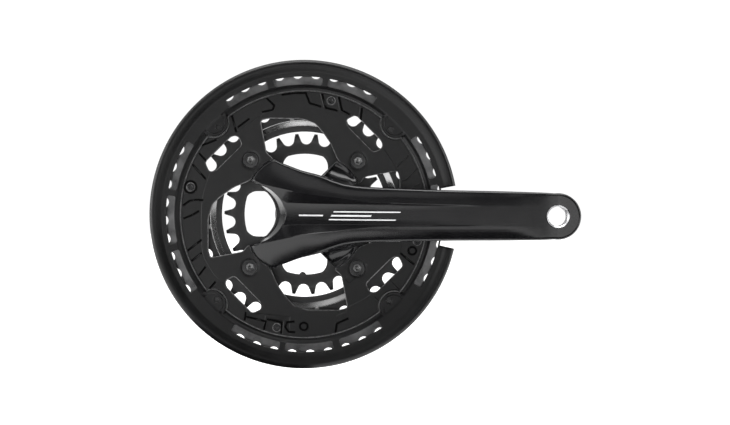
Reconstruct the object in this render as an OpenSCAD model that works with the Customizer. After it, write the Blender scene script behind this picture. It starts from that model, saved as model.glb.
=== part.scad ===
// Triple bicycle crankset, drive side, with its hollow spindle and bottom bracket.
// Millimetres. X runs along the crank arm, Z is up, the spindle lies on Y and the
// drive side faces -Y. The origin is the middle of the bottom-bracket shell.

/* [Crank arm] */
// Spindle axis to pedal axis
arm_length = 170; // [150:0.5:180]
// Outboard face of the pedal eye, from the shell middle
eye_front = 90; // [84:0.5:96]
// Inboard face of the pedal eye
eye_back = 76.5; // [70:0.5:82]
// Radius of the pedal eye
eye_r = 15.5; // [13:0.1:18]
// Radius of the pedal thread (9/16 inch x 20)
pedal_thread_r = 7.14; // [6:0.01:8]

/* [Chainrings] */
// Roller chain pitch
chain_pitch = 12.7; // [12:0.05:13]
// Teeth on the outer ring
teeth_outer = 48; // [44:1:48]
// Teeth on the middle ring
teeth_middle = 36; // [32:1:36]
// Teeth on the inner ring
teeth_inner = 26; // [22:1:28]
// Bolt circle of the outer and middle rings
bcd_outer = 104; // [104:1:110]
// Bolt circle of the inner ring
bcd_inner = 64; // [58:1:74]

/* [Chain guard] */
// Outside radius of the guard
guard_r = 105.4; // [102:0.1:110]
// Guard rim left open on the upper side of the arm, degrees
guard_gap_up = 11.1; // [5:0.1:20]
// Guard rim left open on the lower side of the arm, degrees
guard_gap_down = 12.4; // [5:0.1:20]

/* [Spindle and bottom bracket] */
// Outside diameter of the spindle
spindle_d = 24; // [22:0.5:30]
// Half length of the spindle, from the shell middle to the left end
spindle_left = 68; // [60:0.5:75]
// Width of the frame's shell
shell_width = 73; // [68:1:73]
// Outside diameter of the bearing cups
cup_d = 41; // [39:0.5:46]
// Radius of the cup thread (1.37 inch x 24)
cup_thread_r = 17.4; // [17:0.01:18]
// Length of the cup thread
cup_thread_len = 11; // [9:0.5:14]

/* [Hidden] */
$fn = 96;

// every depth below is measured outboard from the shell middle
hub_back = 48;
hub_bore_end = 62;
spider_back = 51.5;
tab_front = 55.7;
shoulder_front = 62.3;
middle_back = 48.5;
inner_back = 40.5;
inner_front = 43.5;
carrier_back = 55.7;
teeth_back = 56.15;
teeth_front = 58.25;
band_front = 58.7;
panel_front = 59.1;
rim_front = 59.5;
panel_r = 70.4;
carrier_r = 84.6;
ring_seat_r = 76;
lobe_pos = 88.2;
lobe_r = 9.8;
lobe_gap = 0.4;

shell_half = shell_width / 2;
cup_front = shell_half + 10.5;
bearing_in = shell_half + 3;
bearing_out = shell_half + 10;
ball_r = 1.75;
ball_track_r = 15.5;
ball_count = 15;

spindle_r = spindle_d / 2;
spindle_bore_r = 9.2;
cap_thread_r = 10;
spline_len = 20;
spline_step = 0.1;

outer_bolt_r = bcd_outer / 2;
inner_bolt_r = bcd_inner / 2;
sleeve_r = 5;
bolt_head_r = 5.5;
small_bolt_r = 4;

black = [0.13, 0.13, 0.14];
dark = [0.09, 0.09, 0.10];
steel = [0.62, 0.63, 0.65];
resin = [0.16, 0.16, 0.17];

// ---------------------------------------------------------------- helpers

// draw in the front view, with Z of the drawing running outboard
module outboard() {
  rotate([90, 0, 0]) children();
}

module slab(z0, z1) {
  translate([0, 0, z0]) linear_extrude(z1 - z0) children();
}

module tube(z0, z1, r_out, r_in) {
  slab(z0, z1) difference() {
    circle(r_out);
    circle(r_in);
  }
}

module four(first = 45) {
  for (k = [0:3]) rotate([0, 0, first + 90 * k]) children();
}

function polar(r, a) = [r * cos(a), r * sin(a)];
function turned(p, a) = [p[0] * cos(a) - p[1] * sin(a), p[0] * sin(a) + p[1] * cos(a)];
function mirrored(pts) = [for (p = pts) [p[0], -p[1]]];

// round every corner of an outline, d is the length taken off each side
function softened(pts, d, n = 3) = [
  for (i = [0:len(pts) - 1])
    let (
      p = pts[i],
      a = pts[(i + len(pts) - 1) % len(pts)],
      b = pts[(i + 1) % len(pts)],
      ka = min(d / norm(a - p), 0.45),
      kb = min(d / norm(b - p), 0.45),
      s = p + (a - p) * ka,
      e = p + (b - p) * kb
    )
    for (t = [0:1 / n:1])
      s * (1 - t) * (1 - t) + p * 2 * t * (1 - t) + e * t * t
];

// a wedge of a ring between two angles
module sector(r_in, r_out, a0, a1) {
  steps = 4;
  reach = r_out * 1.3;
  intersection() {
    difference() {
      circle(r_out);
      circle(r_in);
    }
    polygon(concat([[0, 0]], [for (i = [0:steps]) polar(reach, a0 + (a1 - a0) * i / steps)]));
  }
}

// a narrow raised or cut line through the points
module strip(pts, w) {
  for (i = [0:len(pts) - 2]) {
    d = pts[i + 1] - pts[i];
    translate(pts[i]) rotate(atan2(d[1], d[0])) translate([-w / 2, -w / 2]) square([norm(d) + w, w]);
  }
}

// ---------------------------------------------------------------- toothed outlines

roller_r = 4.05;
tooth_top = 1.1;
tooth_rise = 3.4;
flank_angle = 60;

function pitch_r(n) = chain_pitch / (2 * sin(180 / n));
function tooth_gap(n) =
  let (
    rp = pitch_r(n),
    tip = rp + tooth_rise,
    edge = 180 / n - asin(tooth_top / tip)
  )
  concat(
    [polar(tip, -edge)],
    [for (a = [-flank_angle:20:flank_angle]) [rp - roller_r * cos(a), roller_r * sin(a)]],
    [polar(tip, edge)]
  );
function toothed(n, phase) = [
  for (k = [0:n - 1]) for (p = tooth_gap(n)) turned(p, phase + k * 360 / n)
];

// ---------------------------------------------------------------- crank arm

// x, half width, crest half width, channel half width, back, edge, crest, channel depth
arm_rows = [
  [-37.0, 21.2, 18.6, 7.0, 51.5, 61.0, 61.6, 60.0],
  [-34.0, 26.9, 21.2, 7.0, 51.5, 61.6, 62.8, 61.0],
  [-31.0, 30.5, 20.6, 7.0, 51.5, 62.0, 63.7, 61.8],
  [-27.0, 33.9, 19.8, 7.0, 51.5, 62.6, 64.9, 62.8],
  [-24.0, 35.7, 19.1, 7.0, 51.5, 63.1, 65.8, 63.5],
  [-21.7, 36.9, 18.5, 7.0, 51.5, 63.5, 66.5, 64.1],
  [-15.0, 34.7, 17.0, 7.0, 51.5, 65.1, 68.4, 65.4],
  [-8.0, 32.1, 15.4, 7.0, 51.5, 66.7, 70.1, 66.6],
  [-2.0, 29.9, 14.2, 6.9, 51.5, 68.0, 71.4, 67.6],
  [4.0, 28.3, 13.4, 6.8, 51.5, 69.3, 72.5, 68.7],
  [10.0, 26.8, 12.7, 6.7, 51.8, 70.5, 73.4, 69.8],
  [17.0, 24.3, 12.0, 6.6, 53.5, 71.8, 74.2, 71.1],
  [23.0, 22.2, 11.3, 6.5, 56.2, 72.8, 74.9, 72.3],
  [29.0, 20.7, 10.5, 6.4, 58.8, 73.7, 75.6, 73.4],
  [37.0, 19.5, 9.5, 6.3, 60.8, 74.8, 76.4, 74.8],
  [45.0, 18.8, 8.6, 6.2, 61.8, 75.8, 77.2, 76.0],
  [54.0, 18.3, 8.0, 6.2, 62.7, 76.9, 78.1, 77.2],
  [66.0, 17.9, 7.5, 6.1, 64.0, 78.3, 79.3, 78.7],
  [80.0, 17.4, 7.2, 6.1, 65.8, 79.9, 80.8, 80.4],
  [92.0, 17.1, 7.1, 6.1, 67.3, 81.3, 82.1, 81.9],
  [106.0, 16.9, 7.0, 6.1, 69.1, 82.8, 83.6, 83.5],
  [120.0, 16.7, 7.0, 6.1, 70.9, 84.3, 85.1, 85.1],
  [134.0, 16.5, 7.0, 6.1, 72.7, 85.8, 86.6, 86.6],
  [150.0, 16.1, 7.0, 6.1, 74.7, 87.5, 88.2, 88.2],
  [162.0, 15.7, 7.0, 6.1, 76.0, 88.8, 89.4, 89.4],
  [170.0, 15.2, 7.0, 6.1, 76.8, 89.3, 89.8, 89.8]
];
drawn_length = 170;
fixed_part = 60;
stretch = (arm_length - fixed_part) / (drawn_length - fixed_part);

function arm_x(x) = x < fixed_part ? x : fixed_part + (x - fixed_part) * stretch;
// upper half of one cross-section, from the back face round to the channel floor
function arm_half(r) =
  let (h = r[1], c = r[2], f = r[3], zb = r[4], ze = r[5], zc = r[6], zf = r[7])
  [
    [h - 3.2, zb],
    [h - 0.9, zb + 1.6],
    [h, zb + 4.2],
    [h, ze - 1.2],
    [h - 0.9, ze],
    [(h + c) / 2, (ze + zc) / 2 + 0.35],
    [c, zc],
    [f, zf]
  ];
function arm_section(r) = let (u = arm_half(r), n = len(u)) concat(
  [for (p = u) [arm_x(r[0]), p[0], p[1]]],
  [for (i = [n - 1:-1:0]) [arm_x(r[0]), -u[i][0], u[i][1]]]
);

module arm_loft() {
  n = len(arm_section(arm_rows[0]));
  m = len(arm_rows);
  skin = [
    for (i = [0:m - 2]) for (j = [0:n - 1])
      let (a = i * n + j, b = i * n + (j + 1) % n, c = a + n, d = b + n)
      for (t = [[a, d, b], [a, c, d]]) t
  ];
  first = [for (j = [0:n - 1]) j];
  last = [for (j = [n - 1:-1:0]) (m - 1) * n + j];
  polyhedron([for (r = arm_rows) for (p = arm_section(r)) p], concat(skin, [first, last]), 8);
}

spider_half_w = 10.3;
shoulder_centre = 15.7;
shoulder_r = 27.8;
tab_end_r = 9.5;
boss_r = 7;
hub_r = 21;
collar_r = 17;
scoop_r = 9;
scoop_at = 31.5;
scoop_height = 67.4;
left_web_front = 58;
boss_height = 10;
notch_mid = [-37.1, 58.75];
notch_lean = 25.1;
notch_bore_r = 19.3;

module spider_tab() {
  union() {
    translate([15, -spider_half_w]) square([outer_bolt_r - 15, 2 * spider_half_w - 0.4]);
    translate([outer_bolt_r, 0]) circle(tab_end_r);
  }
}

module spider_shoulder() {
  intersection() {
    translate([12, -spider_half_w]) square([50, 2 * spider_half_w]);
    translate([shoulder_centre, 0]) circle(shoulder_r);
  }
}

// the open C left of the spindle: a leaning cylinder with a flared mouth
module hub_notch() {
  translate([notch_mid[0], 0, notch_mid[1]]) rotate([0, notch_lean, 0]) {
    cylinder(h = 60, r = notch_bore_r, center = true);
    translate([0, 0, -30]) linear_extrude(60)
      polygon([[4.5, 18.5], [-3, 22.4], [-30, 32], [-30, -32], [-3, -22.4], [4.5, -18.5]]);
  }
}

module crank_arm() {
  color(black) outboard() difference() {
    union() {
      difference() {
        union() {
          arm_loft();
          translate([0, 0, spider_back]) cylinder(h = 8.5, r = hub_r);
          four() slab(spider_back, tab_front) spider_tab();
          four(135) slab(spider_back, left_web_front) spider_shoulder();
        }
        hub_notch();
      }
      for (a = [45, -45]) rotate([0, 0, a]) difference() {
        slab(spider_back, shoulder_front) spider_shoulder();
        translate([scoop_at, 20, scoop_height]) rotate([90, 0, 0]) cylinder(h = 40, r = scoop_r);
      }
      translate([0, 0, hub_back]) cylinder(h = 6, r = collar_r);
      four() translate([inner_bolt_r, 0, inner_front]) cylinder(h = boss_height, r = boss_r);
      translate([arm_length, 0, eye_back]) cylinder(h = eye_front - eye_back - 1, r = eye_r);
      translate([arm_length, 0, eye_front - 1]) cylinder(h = 1, r1 = eye_r, r2 = eye_r - 1);
    }
    translate([0, 0, hub_back - 1]) cylinder(h = hub_bore_end - hub_back + 1, r = spindle_r);
    four() translate([outer_bolt_r, 0, spider_back - 1]) cylinder(h = 6, r = sleeve_r);
    four() translate([inner_bolt_r, 0, inner_front - 1]) cylinder(h = 8.5, r = small_bolt_r);
    translate([arm_length, 0, eye_back - 1]) cylinder(h = 20, r = pedal_thread_r);
    translate([arm_length, 0, eye_front - 0.6]) cylinder(h = 0.7, r1 = pedal_thread_r, r2 = pedal_thread_r + 0.7);
  }
}

// ---------------------------------------------------------------- spindle

spline_count = 20;
groove_w = 0.9;
groove_depth = 0.6;
groove_end = 0.8;

module spindle() {
  color(steel) outboard() difference() {
    union() {
      translate([0, 0, -spindle_left]) cylinder(h = spline_len + 1, r = spindle_r - spline_step);
      translate([0, 0, spline_len - spindle_left]) cylinder(h = spindle_left - spline_len + hub_bore_end, r = spindle_r);
    }
    translate([0, 0, -spindle_left - 1]) cylinder(h = spindle_left + hub_bore_end - 2, r = spindle_bore_r);
    translate([0, 0, -spindle_left - 1]) cylinder(h = 13, r = cap_thread_r);
    for (k = [0:spline_count - 1]) rotate([0, 0, k * 360 / spline_count])
      translate([spindle_r - groove_depth, -groove_w / 2, -spindle_left - 1])
        cube([2, groove_w, spline_len + 1 - groove_end]);
    translate([0, 0, -spindle_left + 13.5]) rotate([90, 0, 0]) cylinder(h = 20, r = 1.3);
  }
}

// ---------------------------------------------------------------- outer ring

// one of the four swirling windows, clockwise from its lower left corner
window = [
  [-21.1, 37.9], [-25.9, 41.6], [-30.3, 63.9], [-24.7, 65.4], [-2.5, 65.4],
  [6.8, 62.4], [12.7, 55.7], [17.9, 48.3], [22.4, 37.9]
];
carrier_opening = [for (k = [0:3]) for (p = window) turned(p, -90 * k)];
kidney = [[-15.5, -2.2], [-13.2, 4.6], [12.5, 4.6], [15.5, 1.6], [13.4, -4.6], [-11.6, -4.6]];
kidney_r = 69;
kidney_at = 53.6;
kidney_turn = -45;
peg_count = 8;
peg_r = 2;
peg_pos = 80;
guard_screw_pos = 83;
guard_screw_r = 2;
shift_pin_pos = 79.8;
outer_pin_at = [167, 77, -13, -103];
drop_pin_pos = 79;
drop_pin_r = 2.5;
counterbore = 1.6;

module carrier_holes() {
  polygon(softened(carrier_opening, 2));
  for (k = [0:3]) rotate(kidney_at + 90 * k) translate([kidney_r, 0])
    rotate(kidney_turn - kidney_at) polygon(softened(kidney, 2.2));
  four() translate([shoulder_centre, 0]) circle(shoulder_r + 0.3);
}

module lobe_notches(extra = 0) {
  four() translate([lobe_pos, 0]) circle(lobe_r + lobe_gap + extra);
}

// raised fields that reach from the flat panel to the rim
island_top = [
  [-31, 66], [-21.7, 71], [-21, 74], [-26.4, 79.9], [-14.1, 83], [0.9, 84.2], [3.7, 75.8], [11.2, 73.5], [13, 66]
];
island_low = [[-8, -66], [-8.6, -83.8], [6, -84], [22.4, -81.2], [23.2, -74.7], [31, -71], [30, -62]];
ribs = [
  [[12.1, 82.8], [14.6, 72.8], [21.6, 71.3]],
  [[23.6, 80.5], [25.6, 71.2], [29.6, 69.1]],
  [[39.4, 73.6], [38.3, 66.5]],
  [[-38.6, 64.6], [-45.4, 59.3]],
  [[-49.7, 67.0], [-47.6, 59.6]],
  [[-62.6, 49.5], [-69.0, 46.9]],
  [[-72.6, 41.6], [-66.9, 35.6]],
  [[-76.7, 33.3], [-67.6, 23.7]],
  [[-83.2, 5.4], [-78.1, 8.6], [-70.6, 9.0]],
  [[-82.4, -3.7], [-71.0, 1.6]],
  [[-79.6, -25.8], [-69.0, -17.5]],
  [[-77.0, -32.6], [-68.6, -26.1]],
  [[-72.0, -42.6], [-66.7, -36.2]],
  [[-63.9, -51.3], [-60.0, -46.5]],
  [[-41.0, -71.6], [-39.4, -66.5]],
  [[-27.0, -79.2], [-25.4, -68.0]],
  [[-15.2, -81.0], [-14.6, -70.5]],
  [[54.7, -63.0], [49.9, -57.5]],
  [[75.2, -33.3], [65.5, -25.6]],
  [[64.4, 34.1], [70.6, 40.2]],
  [[69.0, 25.0], [75.4, 30.2]],
  [[72.5, 17.0], [78.6, 21.6]]
];
rib_w = 1.1;
rim_w = 1.1;
pin_hole_r = 2.6;

module outer_carrier() {
  color(resin) outboard() difference() {
    union() {
      slab(carrier_back, band_front) circle(ring_seat_r);
      slab(teeth_front, band_front) circle(carrier_r);
      slab(band_front - 0.2, panel_front) {
        circle(panel_r);
        polygon(island_top);
        polygon(island_low);
        for (r = ribs) strip(r, rib_w);
      }
      slab(band_front - 0.2, rim_front) difference() {
        circle(carrier_r);
        difference() {
          circle(carrier_r - rim_w);
          lobe_notches(rim_w);
        }
      }
      for (k = [0:peg_count - 1]) rotate([0, 0, 22.5 + k * 360 / peg_count])
        translate([peg_pos, 0, teeth_back]) cylinder(h = teeth_front - teeth_back + 0.3, r = peg_r);
    }
    slab(carrier_back - 1, rim_front + 1) {
      lobe_notches();
      carrier_holes();
    }
    four() translate([outer_bolt_r, 0, carrier_back - 1]) cylinder(h = 8, r = sleeve_r);
    four() translate([outer_bolt_r, 0, panel_front - counterbore]) cylinder(h = 4, r = bolt_head_r);
    for (a = outer_pin_at) rotate([0, 0, a]) translate([shift_pin_pos, 0, 50]) cylinder(h = 20, r = pin_hole_r);
    translate([drop_pin_pos, 0, 50]) cylinder(h = 20, r = drop_pin_r);
  }
}

module outer_tooth_ring() {
  color(steel) outboard() slab(teeth_back, teeth_front) difference() {
    polygon(toothed(teeth_outer, 3.1));
    circle(ring_seat_r);
    for (k = [0:peg_count - 1]) rotate(22.5 + k * 360 / peg_count) translate([peg_pos, 0]) circle(peg_r);
    four() translate([guard_screw_pos, 0]) circle(guard_screw_r);
    for (a = outer_pin_at) rotate(a) translate([shift_pin_pos, 0]) circle(1.5);
    translate([drop_pin_pos, 0]) circle(1.6);
  }
}

module outer_shift_pins() {
  color(steel) outboard() for (a = outer_pin_at) rotate([0, 0, a]) translate([shift_pin_pos, 0, 0]) {
    translate([0, 0, teeth_back - 1.6]) cylinder(h = 1.6, r = 2.4);
    translate([0, 0, teeth_back - 0.1]) cylinder(h = teeth_front - teeth_back + 0.2, r = 1.5);
    translate([0, 0, teeth_front]) cylinder(h = 0.5, r = 2.5);
  }
}

module chain_drop_pin() {
  color(steel) outboard() translate([drop_pin_pos, 0, 0]) {
    translate([0, 0, teeth_back]) cylinder(h = 3, r = 1.6);
    translate([0, 0, teeth_front]) cylinder(h = 6, r = drop_pin_r);
    translate([0, 0, teeth_front + 5.9]) cylinder(h = 0.8, r1 = drop_pin_r, r2 = drop_pin_r - 0.7);
  }
}

// ---------------------------------------------------------------- middle and inner rings

middle_body_r = 57;
middle_bevel_r = 65;
middle_front = 51.5;
middle_lip = 50.4;
middle_pin_pos = 66;
middle_pin_at = [98, 188, 278, 8];

module ring_bolt_tabs(half_w, reach) {
  four() {
    translate([outer_bolt_r, 0]) circle(half_w);
    translate([outer_bolt_r, -half_w]) square([reach - outer_bolt_r, 2 * half_w]);
  }
}

module middle_chainring() {
  color(dark) outboard() difference() {
    union() {
      slab(middle_back, middle_front) difference() {
        polygon(toothed(teeth_middle, 3));
        circle(middle_bevel_r);
      }
      rotate_extrude() polygon([
        [middle_body_r, middle_back], [middle_bevel_r + 0.5, middle_back],
        [middle_bevel_r + 0.5, middle_front], [middle_bevel_r, middle_front],
        [middle_bevel_r - 4, middle_lip], [middle_body_r, middle_lip]
      ]);
      slab(middle_back, middle_front) ring_bolt_tabs(9.4, middle_bevel_r + 0.3);
    }
    four() translate([outer_bolt_r, 0, middle_back - 1]) cylinder(h = 6, r = sleeve_r);
    for (a = middle_pin_at) rotate([0, 0, a]) translate([middle_pin_pos, 0, 40]) cylinder(h = 20, r = 1.5);
  }
}

module middle_shift_pins() {
  color(steel) outboard() for (a = middle_pin_at) rotate([0, 0, a]) translate([middle_pin_pos, 0, 0]) {
    translate([0, 0, middle_back - 1.8]) cylinder(h = 1.8, r = 2.3);
    translate([0, 0, middle_back - 0.1]) cylinder(h = middle_front - middle_back, r = 1.5);
  }
}

inner_open_r = 42;
inner_window_half = 15.7;
inner_corner_r = 9;
inner_centre_r = 25.5;

module inner_window() {
  flat = inner_window_half - inner_corner_r;
  intersection() {
    circle(inner_open_r);
    union() {
      translate([-inner_window_half, 0]) square([2 * inner_window_half, inner_open_r - inner_corner_r]);
      translate([-flat, 0]) square([2 * flat, inner_open_r + 1]);
      for (s = [-1, 1]) translate([s * flat, inner_open_r - inner_corner_r]) circle(inner_corner_r);
    }
  }
}

module inner_chainring() {
  color(dark) outboard() slab(inner_back, inner_front) {
    difference() {
      polygon(toothed(teeth_inner, 89.4));
      circle(inner_centre_r);
      four(0) inner_window();
      four() translate([inner_bolt_r, 0]) circle(small_bolt_r);
    }
    intersection() {
      translate([-1.2, -42.6]) circle(2.4);
      circle(inner_open_r + 2);
    }
  }
}

// ---------------------------------------------------------------- chain guard

guard_slots = [[58.3, 80], [82.5, 103.2], [106.2, 125.4]];
guard_slot_in = 88.5;
guard_slot_out = 94.8;
guard_seat = 58.25;
guard_rim_in = 95.2;
// section from the seat on the toothed ring out over the chain to the rounded rim
guard_section = [
  [85.0, guard_seat], [89.4, guard_seat], [91.6, 61.0], [100.6, 61.0], [101.6, 60.4], [102.6, 59.6],
  [103.8, 59.2], [104.8, 59.7], [guard_r - 0.1, 60.6], [guard_r, 61.5], [guard_r - 0.2, 62.5],
  [104.5, 63.5], [103.3, 64.1], [101.8, 64.2], [98.0, 63.5], [95.0, 62.9], [91.0, 62.2], [88.4, 60.9],
  [87.4, 60.4], [85.0, 60.3]
];

module chain_guard() {
  color(resin) outboard() difference() {
    union() {
      difference() {
        rotate_extrude() polygon(guard_section);
        slab(guard_seat - 1, 70) for (k = [0:3]) for (s = guard_slots)
          sector(guard_slot_in, guard_slot_out, s[0] + 90 * k, s[1] + 90 * k);
        slab(guard_seat - 1, 70) sector(guard_rim_in, guard_r + 3, -guard_gap_down, guard_gap_up);
      }
      four() translate([lobe_pos, 0, guard_seat]) cylinder(h = 2.9, r = lobe_r);
      four() translate([lobe_pos - 0.8, 0, guard_seat]) cylinder(h = 3.4, r = 7.4);
    }
    four() translate([guard_screw_pos, 0, guard_seat - 1]) cylinder(h = 3.3, r = guard_screw_r);
  }
}

module guard_screws() {
  color(steel) outboard() four() translate([guard_screw_pos, 0, 0]) difference() {
    union() {
      translate([0, 0, teeth_back - 2]) cylinder(h = 2, r = 3.4);
      translate([0, 0, teeth_back - 0.1]) cylinder(h = 4.2, r = guard_screw_r);
    }
    translate([0, 0, teeth_back - 2.1]) cylinder(h = 1.4, r = 1.3);
  }
}

// ---------------------------------------------------------------- chainring bolts

nut_head_r = 6.5;
bolt_shank_r = 4;
hex_r = 2.9;
nut_end = 57.3;

module chainring_bolts() {
  color(steel) outboard() four() translate([outer_bolt_r, 0, 0]) difference() {
    union() {
      translate([0, 0, panel_front - counterbore]) cylinder(h = 1.3, r = bolt_head_r);
      translate([0, 0, 49.5]) cylinder(h = panel_front - counterbore - 49.4, r = bolt_shank_r);
    }
    translate([0, 0, 55.2]) cylinder(h = 5, r = hex_r, $fn = 6);
  }
}

module chainring_nuts() {
  color(steel) outboard() four() translate([outer_bolt_r, 0, 0]) difference() {
    union() {
      translate([0, 0, middle_back - 1.6]) cylinder(h = 1.6, r = nut_head_r);
      translate([0, 0, middle_back - 0.1]) cylinder(h = nut_end - middle_back + 0.1, r = sleeve_r);
    }
    translate([0, 0, 40]) cylinder(h = 30, r = bolt_shank_r);
    translate([-0.7, -8, middle_back - 2]) cube([1.4, 16, 1.3]);
  }
}

module inner_ring_bolts() {
  color(steel) outboard() four() translate([inner_bolt_r, 0, 0]) difference() {
    union() {
      translate([0, 0, inner_back - 3]) cylinder(h = 3, r = 6.2);
      translate([0, 0, inner_back - 0.1]) cylinder(h = 9.6, r = small_bolt_r);
    }
    translate([0, 0, inner_back - 4]) cylinder(h = 4, r = hex_r, $fn = 6);
  }
}

// ---------------------------------------------------------------- bottom bracket

barrel_bore_r = 15.3;
race_bore_r = 18.5;
lip_bore_r = 16.2;
notch_count = 16;
notch_r = 1.6;

module side(s) {
  if (s > 0) outboard() children();
  else mirror([0, 1, 0]) outboard() children();
}

module cup() {
  barrel_in = shell_half - cup_thread_len;
  difference() {
    union() {
      translate([0, 0, barrel_in]) cylinder(h = cup_thread_len + 1, r = cup_thread_r);
      translate([0, 0, shell_half]) cylinder(h = cup_front - shell_half, r = cup_d / 2);
    }
    translate([0, 0, barrel_in - 1]) cylinder(h = 9.5, r = barrel_bore_r);
    translate([0, 0, barrel_in]) cylinder(h = 30, r = 13.5);
    translate([0, 0, bearing_in]) cylinder(h = bearing_out - bearing_in, r = race_bore_r);
    translate([0, 0, bearing_out - 0.1]) cylinder(h = 5, r = lip_bore_r);
    for (k = [0:notch_count - 1]) rotate([0, 0, k * 360 / notch_count])
      translate([cup_d / 2 + 0.5, 0, shell_half - 1]) cylinder(h = 5.4, r = notch_r);
  }
}

module race(r_a, r_b) {
  mid = (bearing_in + bearing_out) / 2;
  difference() {
    tube(bearing_in, bearing_out, r_b, r_a);
    translate([0, 0, mid]) rotate_extrude() translate([ball_track_r, 0]) circle(ball_r + 0.05, $fn = 48);
  }
}

module dust_bush() {
  tube(bearing_in + 0.5, bearing_out, 12.5, spindle_r);
  tube(bearing_out, hub_back, 15.6, spindle_r);
}

module balls() {
  mid = (bearing_in + bearing_out) / 2;
  for (k = [0:ball_count - 1]) rotate([0, 0, k * 360 / ball_count])
    translate([ball_track_r, 0, mid]) sphere(ball_r, $fn = 48);
}

module cage() {
  mid = (bearing_in + bearing_out) / 2;
  difference() {
    tube(mid - 2.1, mid + 2.1, ball_track_r + 0.7, ball_track_r - 0.7);
    for (k = [0:ball_count - 1]) rotate([0, 0, k * 360 / ball_count])
      translate([ball_track_r - 3, 0, mid]) rotate([0, 90, 0]) cylinder(h = 6, r = ball_r, $fn = 48);
  }
}

sleeve_end = 32;
ring_at = 29;

module right_cup() { color(black) side(1) cup(); }
module left_cup() { color(black) side(-1) cup(); }
module right_outer_race() { color(steel) side(1) race(16.7, race_bore_r); }
module left_outer_race() { color(steel) side(-1) race(16.7, race_bore_r); }
module right_inner_race() { color(steel) side(1) race(12.5, 14.3); }
module left_inner_race() { color(steel) side(-1) race(12.5, 14.3); }
module right_bearing_seal() { color(dark) side(1) tube(bearing_out - 0.6, bearing_out - 0.2, 16.7, 14.4); }
module left_bearing_seal() { color(dark) side(-1) tube(bearing_out - 0.6, bearing_out - 0.2, 16.7, 14.4); }
module right_dust_bush() { color(dark) side(1) dust_bush(); }
module left_dust_bush() { color(dark) side(-1) dust_bush(); }
module right_balls() { color(steel) side(1) balls(); }
module left_balls() { color(steel) side(-1) balls(); }
module right_cage() { color(resin) side(1) cage(); }
module left_cage() { color(resin) side(-1) cage(); }

module bb_sleeve() {
  color(resin) outboard() difference() {
    tube(-sleeve_end, sleeve_end, barrel_bore_r - 0.3, 13.4);
    for (s = [-1, 1]) translate([0, 0, s * ring_at]) rotate_extrude()
      translate([barrel_bore_r - 0.7, 0]) circle(0.7, $fn = 32);
  }
}

module sleeve_o_rings() {
  color(dark) outboard() for (s = [-1, 1]) translate([0, 0, s * ring_at]) rotate_extrude()
    translate([barrel_bore_r - 0.7, 0]) circle(0.7, $fn = 32);
}

// ---------------------------------------------------------------- output

right_cup();
left_cup();
bb_sleeve();
sleeve_o_rings();
right_outer_race();
left_outer_race();
right_bearing_seal();
left_bearing_seal();
crank_arm();
spindle();
outer_carrier();
outer_tooth_ring();
middle_chainring();
inner_chainring();
chain_guard();
chainring_bolts();
chainring_nuts();
inner_ring_bolts();
guard_screws();
outer_shift_pins();
middle_shift_pins();
chain_drop_pin();
right_inner_race();
left_inner_race();
right_dust_bush();
left_dust_bush();
right_balls();
right_cage();
left_balls();
left_cage();
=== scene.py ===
"""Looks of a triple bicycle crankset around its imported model.

Every visible part gets a finer mesh than its CAD solid, inside the same box, and a procedural finish.
Outlines are drawn in millimetres in the front view: x along the crank arm, y up, z outboard from the
middle of the bottom-bracket shell. make() turns them into the frame's own axes and metres.
"""

import math

import bmesh
import bpy
import numpy as np
from mathutils import Matrix, Vector
from mathutils.geometry import delaunay_2d_cdt


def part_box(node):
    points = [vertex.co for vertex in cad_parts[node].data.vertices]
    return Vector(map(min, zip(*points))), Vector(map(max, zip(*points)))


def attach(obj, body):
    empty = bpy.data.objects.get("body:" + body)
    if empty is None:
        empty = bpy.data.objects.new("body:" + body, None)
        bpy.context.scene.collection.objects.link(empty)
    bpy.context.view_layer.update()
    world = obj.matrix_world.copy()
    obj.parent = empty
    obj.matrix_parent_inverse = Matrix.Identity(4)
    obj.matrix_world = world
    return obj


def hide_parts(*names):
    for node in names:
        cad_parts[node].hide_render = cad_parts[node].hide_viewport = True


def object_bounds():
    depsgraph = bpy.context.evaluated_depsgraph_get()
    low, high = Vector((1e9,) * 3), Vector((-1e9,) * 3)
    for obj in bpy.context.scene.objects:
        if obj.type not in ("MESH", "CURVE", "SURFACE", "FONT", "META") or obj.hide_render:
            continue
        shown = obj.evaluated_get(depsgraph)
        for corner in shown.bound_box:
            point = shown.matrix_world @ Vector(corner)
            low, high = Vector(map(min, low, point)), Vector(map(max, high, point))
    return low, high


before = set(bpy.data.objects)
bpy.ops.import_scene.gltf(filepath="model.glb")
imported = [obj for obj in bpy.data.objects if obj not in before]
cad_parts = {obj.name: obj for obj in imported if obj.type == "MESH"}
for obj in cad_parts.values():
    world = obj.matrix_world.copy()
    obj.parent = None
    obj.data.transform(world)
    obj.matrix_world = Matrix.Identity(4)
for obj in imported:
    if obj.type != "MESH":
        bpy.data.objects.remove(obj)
cad_low, cad_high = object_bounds()
MM = 0.001


def front_of(node):
    """How far outboard a CAD node reaches, in millimetres."""
    return -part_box(node)[0].y / MM


# ------------ outlines


def circle(r, cx=0.0, cy=0.0, step=1.0):
    n = max(24, int(2 * math.pi * r / step / 4) * 4)
    a = np.arange(n) * 2 * math.pi / n
    return np.c_[cx + r * np.cos(a), cy + r * np.sin(a)]


def polar(r, degrees):
    a = np.radians(degrees)
    return np.array([r * np.cos(a), r * np.sin(a)])


def turn(points, degrees):
    c, s = math.cos(math.radians(degrees)), math.sin(math.radians(degrees))
    return np.asarray(points, float) @ np.array([[c, s], [-s, c]])


DIAGONALS = [45 + 90 * k for k in range(4)]


def four(points):
    """The same outline on each of the four diagonals."""
    return [turn(points, a) for a in DIAGONALS]


def holes(r, out, angles):
    """Small round holes at this distance from the axis."""
    return [circle(r, *polar(out, a), 0.5) for a in angles]


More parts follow.
